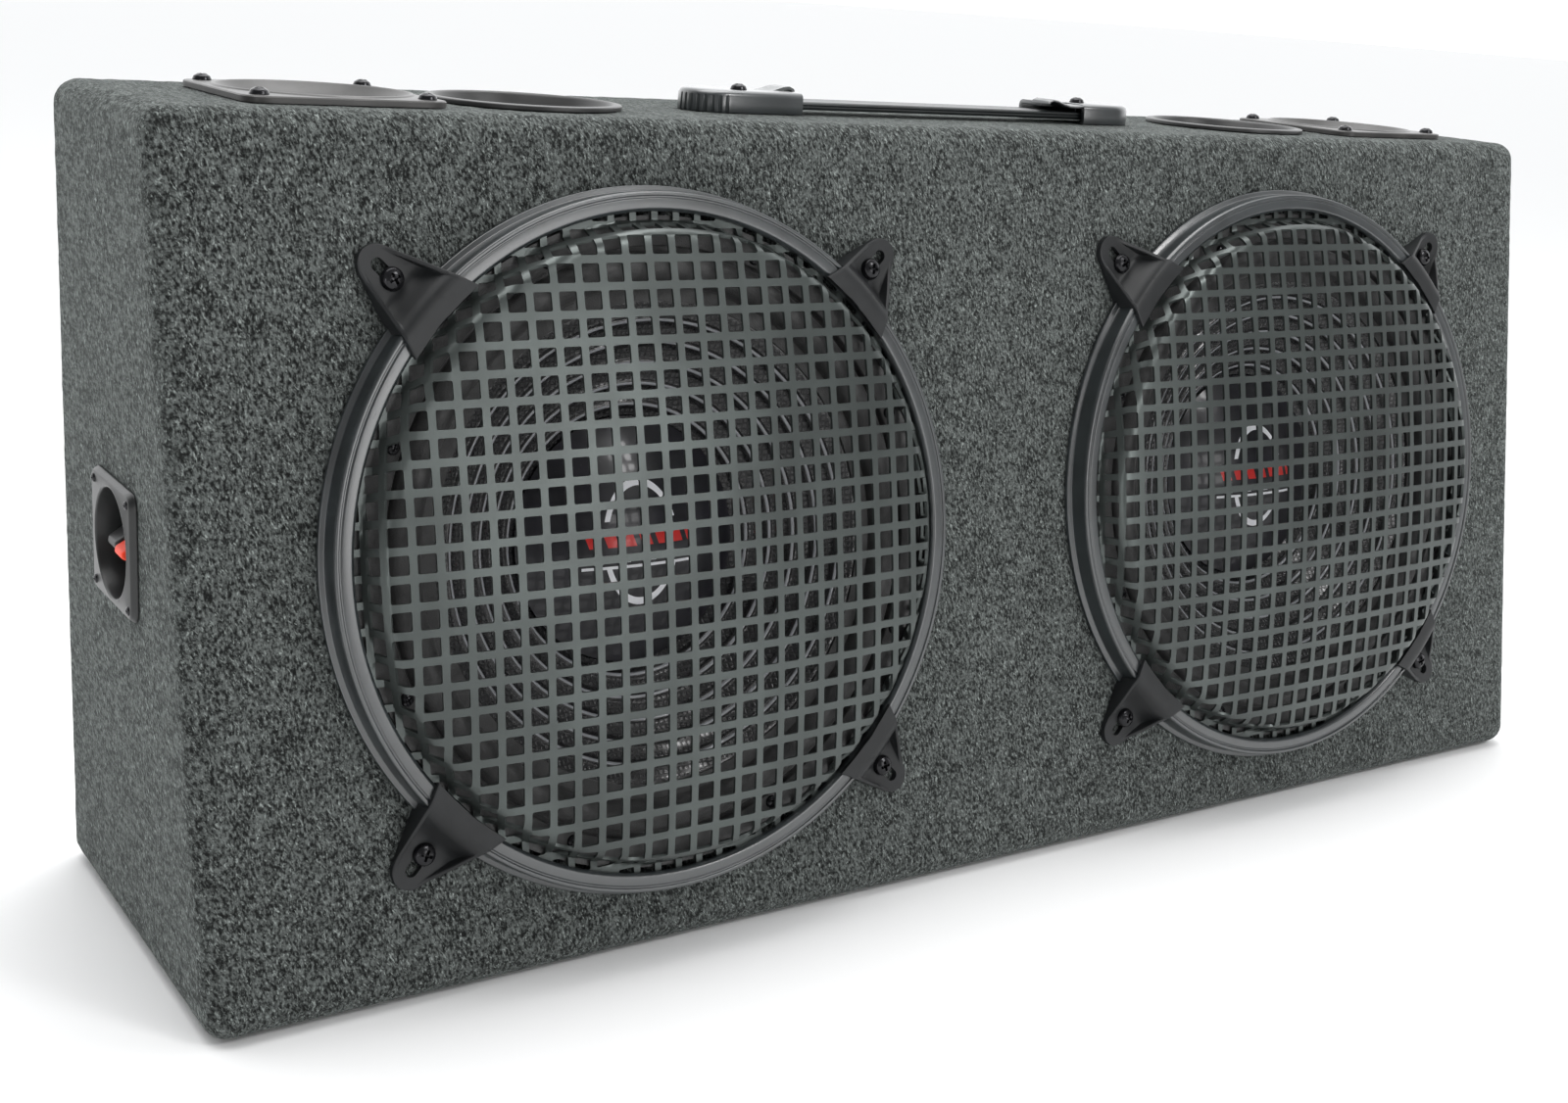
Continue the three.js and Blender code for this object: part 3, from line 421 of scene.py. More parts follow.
# %% [markdown]
# The dust cap is a glossy pressed dome. A printed mark sits on the real one,
# and a plain graphic of arcs and bars, which means nothing, stands in its place.

# %% Dust cap
def cap_finish():
    f = Finish("dust_cap_gloss")
    across, up = f.axis("X"), f.axis("Y")
    radius = ((across * 1.5) ** 2 + up ** 2) ** 0.5
    arc_band = ((radius - 29 * MM).size() < 1.8 * MM) * (up.size() > 11 * MM)
    tick_row = (((up + across * 0.6) * (pi / (4.2 * MM))).wave() > 0.35) * ((up + 7.5 * MM).size() < 1.6 * MM)
    tick_row = tick_row * (across.size() < 21 * MM)
    underline = ((up + 11.2 * MM).size() < 0.7 * MM) * (across.size() < 31 * MM)
    red_bar = ((up - 1.5 * MM).size() < 3.0 * MM) * ((across + up * 0.35).size() < 29 * MM)
    gaps = ((across + up * 0.35) * (2 * pi / (9.0 * MM))).wave() > -0.45
    white = f.any_of(arc_band, tick_row, underline)
    speck = f.ease(f.grain(1.6, 3.0), 0.68, 0.76)
    body = f.blend(f.ease(f.grain(20.0, 3.0), 0.4, 0.7), (0.005, 0.005, 0.008), (0.011, 0.010, 0.016))
    dusted = f.blend(speck * 0.25, body, (0.16, 0.16, 0.17))
    printed = f.blend(white, dusted, (0.86, 0.87, 0.90))
    marked = f.blend(red_bar * gaps, printed, (0.60, 0.016, 0.012))
    return f.shade(Base_Color=marked, Roughness=0.30 + speck * 0.2 + white * 0.15,
                   Coat_Weight=0.25 - white * 0.2, Coat_Roughness=0.08,
                   Normal=f.bump(f.grain(6.0, 2.0), 0.12, 0.4))


# %% [markdown]
# The surround is foam rubber with a closed skin: matt, slightly brown, and finely pitted.
# The spider is a resin-dipped cloth, woven at right angles. The board and the coil's copper wire are inside.

# %% Rubber, cloth, board and wire
def rubber_finish():
    f = Finish("surround_rubber")
    pits = f.grain(0.7, 3.0)
    cloud = f.grain(11.0, 3.0)
    tint = f.blend(f.ease(cloud, 0.35, 0.7), (0.016, 0.016, 0.016), (0.038, 0.038, 0.038))
    return f.shade(Base_Color=tint, Roughness=0.46 + (pits - 0.5) * 0.25, Sheen_Weight=0.15,
                   Sheen_Roughness=0.5, Normal=f.bump(pits + cloud * 0.6, 0.35, 0.6))


def cloth_finish():
    f = Finish("spider_cloth")
    weft = (f.axis("X") * (2 * pi / (1.1 * MM))).wave()
    warp = (f.axis("Z") * (2 * pi / (1.1 * MM))).wave()
    weave = weft * warp * 0.5 + 0.5
    tint = f.blend(weave, (0.28, 0.18, 0.06), (0.52, 0.36, 0.15))
    return f.shade(Base_Color=tint, Roughness=0.85 + (f.grain(5.0) - 0.5) * 0.2,
                   Normal=f.bump(weave, 0.25, 0.8))


def board_finish():
    f = Finish("board")
    fibre = f.grain(0.8, 4.0, (1, 1, 0.5))
    blotch = f.grain(16.0, 3.0)
    tint = f.blend(f.ease(fibre * 0.6 + blotch * 0.4, 0.35, 0.65), (0.30, 0.20, 0.11), (0.50, 0.36, 0.22))
    return f.shade(Base_Color=tint, Roughness=0.85 + (fibre - 0.5) * 0.2, Normal=f.bump(fibre, 0.15, 0.7))


def wire_finish():
    f = Finish("copper_wire")
    turns = (f.axis("Z") * (2 * pi / (0.5 * MM))).wave() * 0.5 + 0.5
    tint = f.blend(turns, (0.35, 0.13, 0.05), (0.72, 0.34, 0.17))
    return f.shade(Base_Color=tint, Metallic=0.8 + (f.grain(3.0) - 0.5) * 0.2, Roughness=0.35 + turns * 0.1,
                   Normal=f.bump(turns, 0.2, 0.8))


# %% All finishes, by the record's slots
finishes = dict(
    carpet=carpet_finish(), board=board_finish(), cone_paper=cone_finish(), dust_cap_gloss=cap_finish(),
    surround_rubber=rubber_finish(), spider_cloth=cloth_finish(), copper_wire=wire_finish(),
    frame_steel=powder_coat("frame_steel", (0.030, 0.032, 0.034), 0.45, 0.3),
    grille_steel=powder_coat("grille_steel", (0.068, 0.078, 0.075), 0.33, 0.6),
    plated_steel=bare_metal("plated_steel", (0.62, 0.60, 0.55), 0.3),
    ferrite=moulded("ferrite", (0.03, 0.031, 0.033), 0.7, 0.5, 0.08),
    black_screw=powder_coat("black_screw", (0.012, 0.012, 0.014), 0.24, 0.55, 0.8),
    trim_plastic=moulded("trim_plastic", (0.016, 0.020, 0.022), 0.32, 0.3, 0.02, IOR=1.8, Coat_Weight=0.4,
                         Coat_Roughness=0.2),
    clamp_plastic=moulded("clamp_plastic", (0.011, 0.012, 0.013), 0.46, 0.3, 0.03, Specular_IOR_Level=0.35),
    horn_plastic=moulded("horn_plastic", (0.052, 0.050, 0.048), 0.38, 0.35, 0.03),
    port_plastic=moulded("port_plastic", (0.030, 0.030, 0.030), 0.40, 0.35, 0.03),
    strap=moulded("strap", (0.015, 0.018, 0.019), 0.36, 0.5, 0.05),
    cup_plastic=moulded("cup_plastic", (0.012, 0.013, 0.013), 0.34, 0.4, 0.04),
    red_plastic=moulded("red_plastic", (0.90, 0.050, 0.008), 0.42, 0.4, 0.03, drift=0.08,
                        Specular_IOR_Level=0.3, Subsurface_Weight=0.1, Subsurface_Scale=0.002),
    black_plastic=moulded("black_plastic", (0.010, 0.010, 0.011), 0.36, 0.4, 0.04),
)
print("finishes:", sorted(finishes))
for row in frame["record"]["subparts"]:
    node = frame["nodes"][row["node"]]
    node.data.materials.clear()
    node.data.materials.append(finishes[row["material_slot"]])

# %% [markdown]
# ## Shape tools
# Nearly every piece is a loft: closed loops of points, joined one to the next.
# Turned parts are lofts of circles, and a square flange with a round mouth is a loft from circles
# to rounded squares.
# Corners of a drawn outline are rounded before it is turned, so highlights run along edges as on moulded parts.

# %% Loops and outlines
def circle(radius, height=0.0, count=96, stretch=1.0):
    turns = [2 * pi * i / count for i in range(count)]
    return [(radius * cos(turn), radius * stretch * sin(turn), height) for turn in turns]


def soft_square(half_width, half_height, corner, height=0.0, count=96):
    """A rounded rectangle whose points lie on the same rays as circle()'s."""
    loop = []
    for i in range(count):
        c, s = cos(2 * pi * i / count), sin(2 * pi * i / count)
        far = min(half_width / max(abs(c), 1e-9), half_height / max(abs(s), 1e-9))
        middle_x, middle_y = half_width - corner, half_height - corner
        if abs(far * c) > middle_x and abs(far * s) > middle_y:
            along = abs(c) * middle_x + abs(s) * middle_y
            far = along + sqrt(max(0.0, along ** 2 - middle_x ** 2 - middle_y ** 2 + corner ** 2))
        loop.append((far * c, far * s, height))
    return loop


def eased(outline, closed=True, steps=3):
    """Rounds the corners of an outline of (x, y, radius) points; the radius may be left out."""
    rounded = []
    count = len(outline)
    for i, here in enumerate(outline):
        spot = Vector(here[:2])
        radius = here[2] if len(here) > 2 else 0
        if radius == 0 or (not closed and i in (0, count - 1)):
            rounded.append(tuple(spot))
            continue
        before = Vector(outline[i - 1][:2]) - spot
        after = Vector(outline[(i + 1) % count][:2]) - spot
        half = before.angle(after) / 2
        trim = min(radius / tan(half), 0.48 * before.length, 0.48 * after.length)
        start, end = spot + before.normalized() * trim, spot + after.normalized() * trim
        for j in range(steps + 1):
            t = j / steps
            rounded.append(tuple(start * (1 - t) ** 2 + spot * 2 * t * (1 - t) + end * t ** 2))
    return rounded


# %% Making and placing pieces
def new_piece(name, mesh, place, slot, body="cabinet", replaces=()):
    piece = bpy.data.objects.new(name, mesh)
    bpy.context.scene.collection.objects.link(piece)
    piece.matrix_world = place
    if not mesh.materials:
        mesh.materials.append(finishes[slot])
    if body:
        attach(piece, body)
    if replaces:
        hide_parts(*replaces)
    return piece


def mesh_of(name, points, faces, crease=35):
    """A mesh from points in millimetres, with doubles merged and its faces turned outward."""
    mesh = bpy.data.meshes.new(name)
    mesh.from_pydata([Vector(point) * MM for point in points], [], faces)
    work = bmesh.new()
    work.from_mesh(mesh)
    bmesh.ops.remove_doubles(work, verts=work.verts, dist=0.002 * MM)
    bmesh.ops.dissolve_degenerate(work, edges=work.edges, dist=0.002 * MM)
    bmesh.ops.recalc_face_normals(work, faces=work.faces)
    work.to_mesh(mesh)
    work.free()
    smooth(mesh, crease)
    return mesh


def smooth(mesh, crease=35):
    mesh.shade_smooth()
    mesh.set_sharp_from_angle(angle=radians(crease))


def loft(name, loops, closed=False, caps=True, crease=35):
    """Joins loops of equally many points. A closed loft joins its last loop to its first."""
    count = len(loops[0])
    points = [point for loop in loops for point in loop]
    faces = []
    pairs = len(loops) if closed else len(loops) - 1
    for row in range(pairs):
        low, high = row * count, (row + 1) % len(loops) * count
        for i in range(count):
            j = (i + 1) % count
            faces.append((low + i, low + j, high + j, high + i))
    if caps and not closed:
        faces.append(tuple(range(count)))
        faces.append(tuple((len(loops) - 1) * count + i for i in range(count)))
    return mesh_of(name, points, faces, crease)


def turned(name, outline, count=96, closed=True, stretch=1.0, crease=35):
    """A turned mesh from an outline of (radius, height) points."""
    loops = [circle(radius, height, count, stretch) for radius, height in outline]
    return loft(name, loops, closed=closed, caps=False, crease=crease)


def settle(piece, crease=35):
    """Turns a piece's modifiers into mesh."""
    shape = bpy.data.meshes.new_from_object(piece.evaluated_get(bpy.context.evaluated_depsgraph_get()))
    piece.modifiers.clear()
    piece.data = shape
    smooth(shape, crease)


def carved(mesh, cutters, operation="DIFFERENCE", bevel=0.0, crease=35, solver="EXACT"):
    """The mesh with cutters taken away or joined on, and its hard edges bevelled, in millimetres."""
    block = bpy.data.objects.new("block", mesh)
    bpy.context.scene.collection.objects.link(block)
    tools = []
    for cutter in cutters:
        tool = bpy.data.objects.new("tool", cutter)
        bpy.context.scene.collection.objects.link(tool)
        cut = block.modifiers.new("cut", "BOOLEAN")
        cut.operation, cut.solver, cut.object = operation, solver, tool
        tools.append(tool)
    if bevel:
        edge = block.modifiers.new("edge", "BEVEL")
        edge.width, edge.segments, edge.limit_method = bevel * MM, 2, "ANGLE"
        edge.angle_limit = radians(40)
    settle(block, crease)
    made = block.data
    made.materials.clear()
    for leftover in (block, *tools):
        bpy.data.objects.remove(leftover)
    return made


def prism(name, outline, low, high):
    return loft(name, [[(x, y, height) for x, y in outline] for height in (low, high)])


def shifted(mesh, x=0.0, y=0.0, turn=0.0):
    """A copy of a mesh, turned about Z and then moved, in millimetres and degrees."""
    copy = mesh.copy()
    copy.transform(Matrix.Translation(Vector((x, y, 0)) * MM) @ Matrix.Rotation(radians(turn), 4, "Z"))
    return copy


# %% [markdown]
# ## Cabinet
# The real box is board with carpet glued round it, so its edges are soft curves of about 12 mm.
# A bevelled cube would give the shape, but not an even skin of small faces to push about.
# Here a grid on a sharp box is pulled onto the rounded wedge: each point keeps the nearest spot of an inner box
# and goes one radius out from it, which is how a rolling ball rounds an edge.
# A second, coarse wedge inside makes the skin 3 mm thick, and cutters open it for the drivers, ports and cup.

# %% The carpet skin
EDGE_RADIUS, CARPET = 12.0, 3.0
width = (shell_high.x - shell_low.x) / MM
height = (shell_high.z - shell_low.z) / MM
back_y, front_y = shell_high.y / MM, front_foot / MM


def ticks(length, radius, pitch):
    """Positions along one side of a box: close together on its rounded ends and even between."""
    bend = [radius * (1 - tan(radians(45 - 11.25 * i))) for i in range(4)]
    flat = max(2, int((length - 2 * radius) / pitch))
    middle = [radius + (length - 2 * radius) * i / flat for i in range(flat + 1)]
    return [*bend, *middle, *[length - b for b in reversed(bend)]]


def wedge_skin(inset, pitch):
    """Points and faces of the rounded wedge, inset from the carpet's outer face."""
    radius = EDGE_RADIUS - inset
    reach = inset + radius
    size = (width - 2 * inset, 200.0, height - 2 * inset)
    marks = [ticks(length, radius, pitch) for length in size]
    index, points, faces = {}, [], []

    def corner(i, j, k):
        key = (i, j, k)
        if key not in index:
            spot = [marks[axis][step] for axis, step in enumerate(key)]
            inner = [min(max(value, radius), length - radius) for value, length in zip(spot, size)]
            lean_out = [value - held for value, held in zip(spot, inner)]
            z = inset + inner[2]
            front_line = front_y + z * tan(lean) + reach / cos(lean)
            along = (inner[1] - radius) / (size[1] - 2 * radius)
            base_y = front_line + (back_y - reach - front_line) * along
            base = Vector((inner[0] + inset - width / 2, base_y, z))
            facing = Vector((0, cos(lean), -sin(lean))) if lean_out[1] < 0 else Vector((0, 1, 0))
            out = Vector((lean_out[0], 0, lean_out[2])) + facing * lean_out[1]
            points.append(tuple(base + out.normalized() * radius))
            index[key] = len(points) - 1
        return index[key]

    last = [len(line) - 1 for line in marks]
    for axis in range(3):
        a, b = [other for other in range(3) if other != axis]
        for end in (0, last[axis]):
            for i in range(last[a]):
                for j in range(last[b]):
                    quad = []
                    for step_a, step_b in ((0, 0), (1, 0), (1, 1), (0, 1)):
                        key = [0, 0, 0]
                        key[axis], key[a], key[b] = end, i + step_a, j + step_b
                        quad.append(corner(*key))
                    faces.append(tuple(quad))
    return points, faces


NAP, NAP_CLUMP = 0.35, 4.0
outer_points, outer_faces = wedge_skin(0.0, 4.5)
skin = mesh_of("carpet", outer_points, outer_faces, crease=60)
outwards = [vertex.normal.copy() for vertex in skin.vertices]
for vertex, outward in zip(skin.vertices, outwards):
    lump = noise.noise(vertex.co / (NAP_CLUMP * MM))
    lump += 0.5 * noise.noise(vertex.co / (1.7 * NAP_CLUMP * MM))
    vertex.co -= outward * NAP * MM * (0.6 - 0.6 * lump)
inner_points, inner_faces = wedge_skin(CARPET, 60.0)
hollow = mesh_of("hollow", inner_points, inner_faces)


def joined(meshes):
    """Several meshes as one."""
    work = bmesh.new()
    for mesh in meshes:
        work.from_mesh(mesh)
    whole = bpy.data.meshes.new("joined")
    work.to_mesh(whole)
    work.free()
    return whole


def punch(place, radius, depth=40.0, stretch=1.0, x=0.0, y=0.0):
    """A round cutter through the skin, in the cabinet's own frame."""
    outline = [(0, -depth), (radius, -depth), (radius, depth), (0, depth)]
    tool = turned("punch", outline, 72, closed=False, stretch=stretch)
    tool.transform(place @ Matrix.Translation(Vector((x, y, 0)) * MM))
    return tool


CUTOUT_RADIUS, CLAMP_SCREW_RADIUS = 142.0, 180.0
SCREW_HOLE, TOP_HOLE, CUP_HOLE, CUP_STRETCH = 2.6, 45.6, 26.6, 1.04
clamp_turns = (45, 135, 225, 315)
punches = []
for hand in ("left", "right"):
    punches.append(punch(woofer_place[hand], CUTOUT_RADIUS))
    for turn in clamp_turns:
        spot_x, spot_y = CLAMP_SCREW_RADIUS * cos(radians(turn)), CLAMP_SCREW_RADIUS * sin(radians(turn))
        punches.append(punch(woofer_place[hand], SCREW_HOLE, 10.0, x=spot_x, y=spot_y))
    for part in ("_tweeter_horn", "_port"):
        punches.append(punch(top_place(hand + part), TOP_HOLE))
punches.append(punch(side_place, CUP_HOLE, stretch=CUP_STRETCH))
skin = carved(skin, [hollow, joined(punches)], crease=60, solver="MANIFOLD")
new_piece("carpet", skin, Matrix(), "carpet", replaces=("carpet_wrap", "carpet_base"))
print("carpet skin:", len(skin.polygons), "faces")

# %% [markdown]
# ## Screws
# Pan-head screws hold the clamps, the frames, the tweeters, the handle and the cup.
# Their heads are one turned dome with a cross cut into it, made once and shared at a few sizes.

# %% Pan-head screw
def pan_head(radius, rise, shank):
    dome = eased([(0, rise), (radius * 0.45, rise * 0.96), (radius * 0.86, rise * 0.62, radius * 0.3),
                  (radius, rise * 0.15, 0.3), (radius, 0), (shank, 0), (shank, -7), (0, -8.5)],
                 closed=False, steps=4)
    head = turned("pan_head", dome, 40, closed=False)
    cross = []
    for turn in (0, 90):
        loops = []
        for z, long_half, wide_half in ((rise + 0.5, 0.56, 0.15), (rise - 0.45 * rise, 0.40, 0.11),
                                        (rise - 0.7 * rise, 0.12, 0.06)):
            a, b = long_half * radius, wide_half * radius
            loops.append([(a, b, z), (-a, b, z), (-a, -b, z), (a, -b, z)])
        cross.append(shifted(loft("cross", loops), turn=turn))
    return carved(head, cross, crease=30)


big_screw = pan_head(5.4, 3.4, 2.1)
small_screw = pan_head(3.2, 2.0, 1.2)
dome_screw = pan_head(4.3, 3.0, 1.6)


def screw(name, mesh, place, x, y, z, turn):
    spot = place @ Matrix.Translation(Vector((x, y, z)) * MM) @ Matrix.Rotation(radians(turn), 4, "Z")
    return new_piece(name, mesh, spot, "black_screw")


# %% [markdown]
# ## Grille mesh
# A waffle grille starts as a flat sheet with square holes about 12 mm apart. A press then domes it,
# so the holes near the edge stretch over the shoulder and run down the wall under the trim ring.
# The same is done here: a flat grid with rounded square holes is made first,
# and each point's distance from the middle is laid along the dome's outline.

# %% Perforated dome
PITCH, HOLE, HOLE_CORNER, SHEET = 12.2, 8.6, 0.8, 1.5
WALL_RADIUS, SHOULDER, CROWN, MESH_EDGE, RIM_TOP = 146.0, 24.0, 34.0, 161.0, 10.0


def dome_outline():
    """The middle of the sheet from the dome's crown to the rim, as (radius, height)."""
    crown = [(WALL_RADIUS * i / 24, CROWN - (CROWN - SHOULDER) * (i / 24) ** 2) for i in range(24)]
    bends = [(WALL_RADIUS, SHOULDER, 12.0), (WALL_RADIUS + 5, RIM_TOP, 1.5), (MESH_EDGE, RIM_TOP)]
    return [(r, z - SHEET / 2) for r, z in eased([*crown, *bends], closed=False, steps=6)]


def laid_along(outline, distance):
    """The point that lies this far along an outline."""
    for (r0, z0), (r1, z1) in zip(outline, outline[1:]):
        step = hypot(r1 - r0, z1 - z0)
        if distance <= step:
            return r0 + (r1 - r0) * distance / step, z0 + (z1 - z0) * distance / step
        distance -= step
    return outline[-1]


def grille_sheet():
    outline = dome_outline()
    length = sum(hypot(b[0] - a[0], b[1] - a[1]) for a, b in zip(outline, outline[1:]))
    half, inset = HOLE / 2, HOLE / 2 - HOLE_CORNER
    marks, in_hole = [], []
    reach = ceil(length / PITCH)
    for k in range(-reach, reach + 1):
        for offset, starts_hole in ((-half, "corner"), (-inset, "open"), (0, "open"), (inset, "corner"),
                                    (half, ""), (PITCH / 2, "")):
            marks.append((k + 0.5) * PITCH + offset)
            in_hole.append(starts_hole)
    index, points, faces = {}, [], []

    def at(x, y):
        key = (round(x, 3), round(y, 3))
        if key not in index:
            distance = hypot(x, y)
            radius, lift = laid_along(outline, min(distance, length))
            share = radius / distance if distance else 0
            index[key] = len(points)
            points.append((x * share, y * share, lift))
        return index[key]

    for i, (x0, x1) in enumerate(zip(marks, marks[1:])):
        for j, (y0, y1) in enumerate(zip(marks, marks[1:])):
            nearest = hypot(min(abs(x0), abs(x1)), min(abs(y0), abs(y1)))
            if nearest >= length:
                continue
            across, up = in_hole[i], in_hole[j]
            if across and up:
                if across == up == "corner":
                    left, low = in_hole[i - 1] == "", in_hole[j - 1] == ""
                    cx, cy = (x0 if left else x1), (y0 if low else y1)
                    fx, fy = (x1 if left else x0), (y1 if low else y0)
                    mx, my = cx + (fx - cx) * 0.29, cy + (fy - cy) * 0.29
                    faces.append([at(cx, cy), at(fx, cy), at(mx, my), at(cx, fy)])
                continue
            faces.append([at(x0, y0), at(x1, y0), at(x1, y1), at(x0, y1)])
    sheet = mesh_of("grille_sheet", points, faces)
    piece = bpy.data.objects.new("grille_sheet", sheet)
    bpy.context.scene.collection.objects.link(piece)
    thick = piece.modifiers.new("thick", "SOLIDIFY")
    thick.thickness, thick.offset = SHEET * MM, 0
    edge = piece.modifiers.new("edge", "BEVEL")
    edge.width, edge.segments, edge.limit_method, edge.angle_limit = 0.22 * MM, 1, "ANGLE", radians(50)
    settle(piece, 40)
    made = piece.data
    bpy.data.objects.remove(piece)
    return made


grille = grille_sheet()
print("grille mesh:", len(grille.polygons), "faces")

# %% [markdown]
# ## Trim ring
# The ring is a moulded hoop: a thin lip on the carpet, a wall, a bead round the outer front edge,
# and a flat face that falls slightly to its inner edge. Its rounded outline is turned in 160 steps.

# %% Ring
ring = turned("trim_ring", eased([
    (161.6, 0.3), (168.0, 0.3, 0.4), (168.0, 2.6, 0.8), (165.3, 3.4, 0.8), (165.0, 12.4, 0.4),
    (164.4, 13.9, 0.8), (162.9, 14.0, 0.5), (162.5, 13.2, 0.3), (161.9, 13.2, 0.3), (161.3, 13.8, 0.5),
    (157.0, 14.0, 1.2), (155.6, 12.4, 0.6), (155.6, 10.3), (161.6, 10.3)]), 160)

# %% [markdown]
# ## Clamp
# Each clamp hooks over the ring and runs out to a slotted tab. Two side walls taper down to the tab,
# and a scooped ramp fills the space between them. It is lofted from cross-sections, from the ring outward.
# A cross-section knows its width, the height of its walls, its floor and its underside.

# %% Clamp
CLAMP_FROM, CLAMP_HALF, CLAMP_END, CLAMP_END_RADIUS, CLAMP_TOP = 154.6, 22.0, 189.0, 9.0, 16.5
WALL, TAB_TOP, SLOT_HALF = 2.0, 3.3, 3.0


def along(table, at):
    """A value read between the rows of a table of (position, value)."""
    for (x0, y0), (x1, y1) in zip(table, table[1:]):
        if at <= x1:
            t = max(0.0, (at - x0) / (x1 - x0))
            return y0 + (y1 - y0) * t
    return table[-1][1]


def clamp_mesh():
    corner_x = sqrt(CLAMP_FROM ** 2 - CLAMP_HALF ** 2)
    reach = hypot(CLAMP_END - corner_x, CLAMP_HALF)
    slant = atan2(CLAMP_HALF, CLAMP_END - corner_x) - asin(CLAMP_END_RADIUS / reach)
    tangent = CLAMP_END + CLAMP_END_RADIUS * sin(slant)
    tangent_half = CLAMP_END_RADIUS * cos(slant)
    floor_line = [(0, CLAMP_TOP), (160.5, CLAMP_TOP), (163, 16.3), (165.4, 15.6), (167.4, 13.6), (169, 11.0),
                  (170.5, 8.4), (172, 6.2), (173.5, 4.5), (175, 3.6), (176.5, TAB_TOP), (300, TAB_TOP)]
    wall_line = [(0, CLAMP_TOP), (163, CLAMP_TOP), (188, TAB_TOP + 0.5), (190, TAB_TOP), (300, TAB_TOP)]
    stations = [(v, 14.3) for v in (154.6, 155.2, 157, 159, 160.5, 162, 163, 164, 165.3)]
    stations += [(165.3, 3.6), (166.4, 3.6), (167.4, 3.6), (168.3, 3.6), (168.3, 0.3)]
    stations += [(v, 0.3) for v in (169, 170.5, 172, 173.5, 175, 176.5, 178.5, 180.5, 183, 186, 188, tangent)]
    turns = [slant + (pi / 2 - slant) * i / 10 for i in range(1, 11)]
    stations += [(CLAMP_END + CLAMP_END_RADIUS * sin(turn), 0.3) for turn in turns]
    loops = []
    for v, under in stations:
        if v <= tangent:
            half = CLAMP_HALF + (tangent_half - CLAMP_HALF) * (v - CLAMP_FROM) / (tangent - CLAMP_FROM)
        else:
            half = sqrt(max(0.15, CLAMP_END_RADIUS ** 2 - (v - CLAMP_END) ** 2))
        floor_z, wall_z = along(floor_line, v), along(wall_line, v)
        wall_z = max(wall_z, floor_z)
        wall = min(WALL, half * 0.3)
        lip = min(0.45, half * 0.1)
        drop = min(lip, (wall_z - under) * 0.4)
        inner_drop = min(lip, (wall_z - floor_z) * 0.5)
        foot = min(1.0, half * 0.2) if wall_z > floor_z + 0.5 else min(0.3, half * 0.1)
        lift = min(0.9, (wall_z - floor_z) * 0.4)
        inside = half - wall
        side = [(half, under), (half, wall_z - drop), (half - lip * 0.3, wall_z - drop * 0.3),
                (half - lip, wall_z), (inside + lip, wall_z), (inside, wall_z - inner_drop),
                (inside, floor_z + lift), (inside - foot * 0.3, floor_z + lift * 0.3), (inside - foot, floor_z)]
        inner = side[-1][0]
        middle = [(inner * share, floor_z) for share in (0.6, 0.2, -0.2, -0.6)]
        section = side + middle + [(-y, z) for y, z in reversed(side)]
        section += [(half * share, under) for share in (-0.6, -0.2, 0.2, 0.6)]
        bow = max(0.0, min(1.0, (178.5 - v) / 8.0))
        loops.append([(v - bow * (v - sqrt(v * v - y * y)), y, z) for y, z in section])
    body = loft("clamp", loops, crease=38)
    slot = []
    for middle_x, first in ((CLAMP_END, -0.5), (CLAMP_SCREW_RADIUS, 0.5)):
        turns = [pi * (i / 12 + first) for i in range(13)]
        slot += [(middle_x + SLOT_HALF * cos(turn), SLOT_HALF * sin(turn)) for turn in turns]
    return carved(body, [prism("slot", slot, -5, 20)], crease=38)


clamp = clamp_mesh()
clamp.materials.append(finishes["clamp_plastic"])
print("clamp:", len(clamp.polygons), "faces")

# %% [markdown]
# ## Cone and dust cap
# The cone's outline steps over five round ribs, each a small arch,
# and ends in the flat lip that the surround is glued to.
# The dust cap is a shallow dome with a turned-down skirt.

# %% Cone outline
CONE_LIP_RADIUS, CONE_EDGE, COIL_RADIUS = 114.0, 122.0, 27.2
CONE_NECK, LIP_TOP, PAPER, CONE_DROP = 26.9, 2.3, 1.2, 57


def cone_height(radius):
    share = (CONE_LIP_RADIUS - radius) / (CONE_LIP_RADIUS - CONE_NECK)
    return LIP_TOP - CONE_DROP * (0.8 * share + 0.2 * share ** 2)


def cone_mesh():
    upper = []
    radius = COIL_RADIUS
    while radius < CONE_LIP_RADIUS:
        near = min(abs(radius - rib) for rib in RIBS)
        lift = RIB_RISE * cos(pi / 2 * near / RIB_HALF) if near < RIB_HALF else 0.0
        upper.append((radius, cone_height(radius) + lift))
        radius += 0.6 if min(abs(radius + 0.3 - rib) for rib in RIBS) < RIB_HALF + 0.6 else 2.0
    radii = [CONE_LIP_RADIUS - (CONE_LIP_RADIUS - COIL_RADIUS) * i / 17 for i in range(18)]
    lower = [(r, cone_height(r) - PAPER) for r in radii]
    lip = [(CONE_LIP_RADIUS, LIP_TOP), (CONE_EDGE, LIP_TOP), (CONE_EDGE, LIP_TOP - PAPER)]
    return turned("cone", [*upper, *lip, *lower], 120, crease=50)


cone = cone_mesh()
CAP_RADIUS, CAP_RISE = 60.0, 17.0
cap_base = cone_height(CAP_RADIUS) + 0.9
cap_shares = [i / 20 for i in range(21)]
cap_top = [(CAP_RADIUS * s, cap_base + CAP_RISE * (1 - s * s) * (1 - 0.12 * s * s)) for s in cap_shares]
cap_under = [((CAP_RADIUS - 1) * s, cap_base + (CAP_RISE - 1) * (1 - s * s)) for s in reversed(cap_shares)]
dust_cap = turned("dust_cap", [*cap_top, *cap_under], 96, closed=False, crease=50)
print("cone:", len(cone.polygons), "faces; dust cap base at", round(cap_base, 1), "mm")
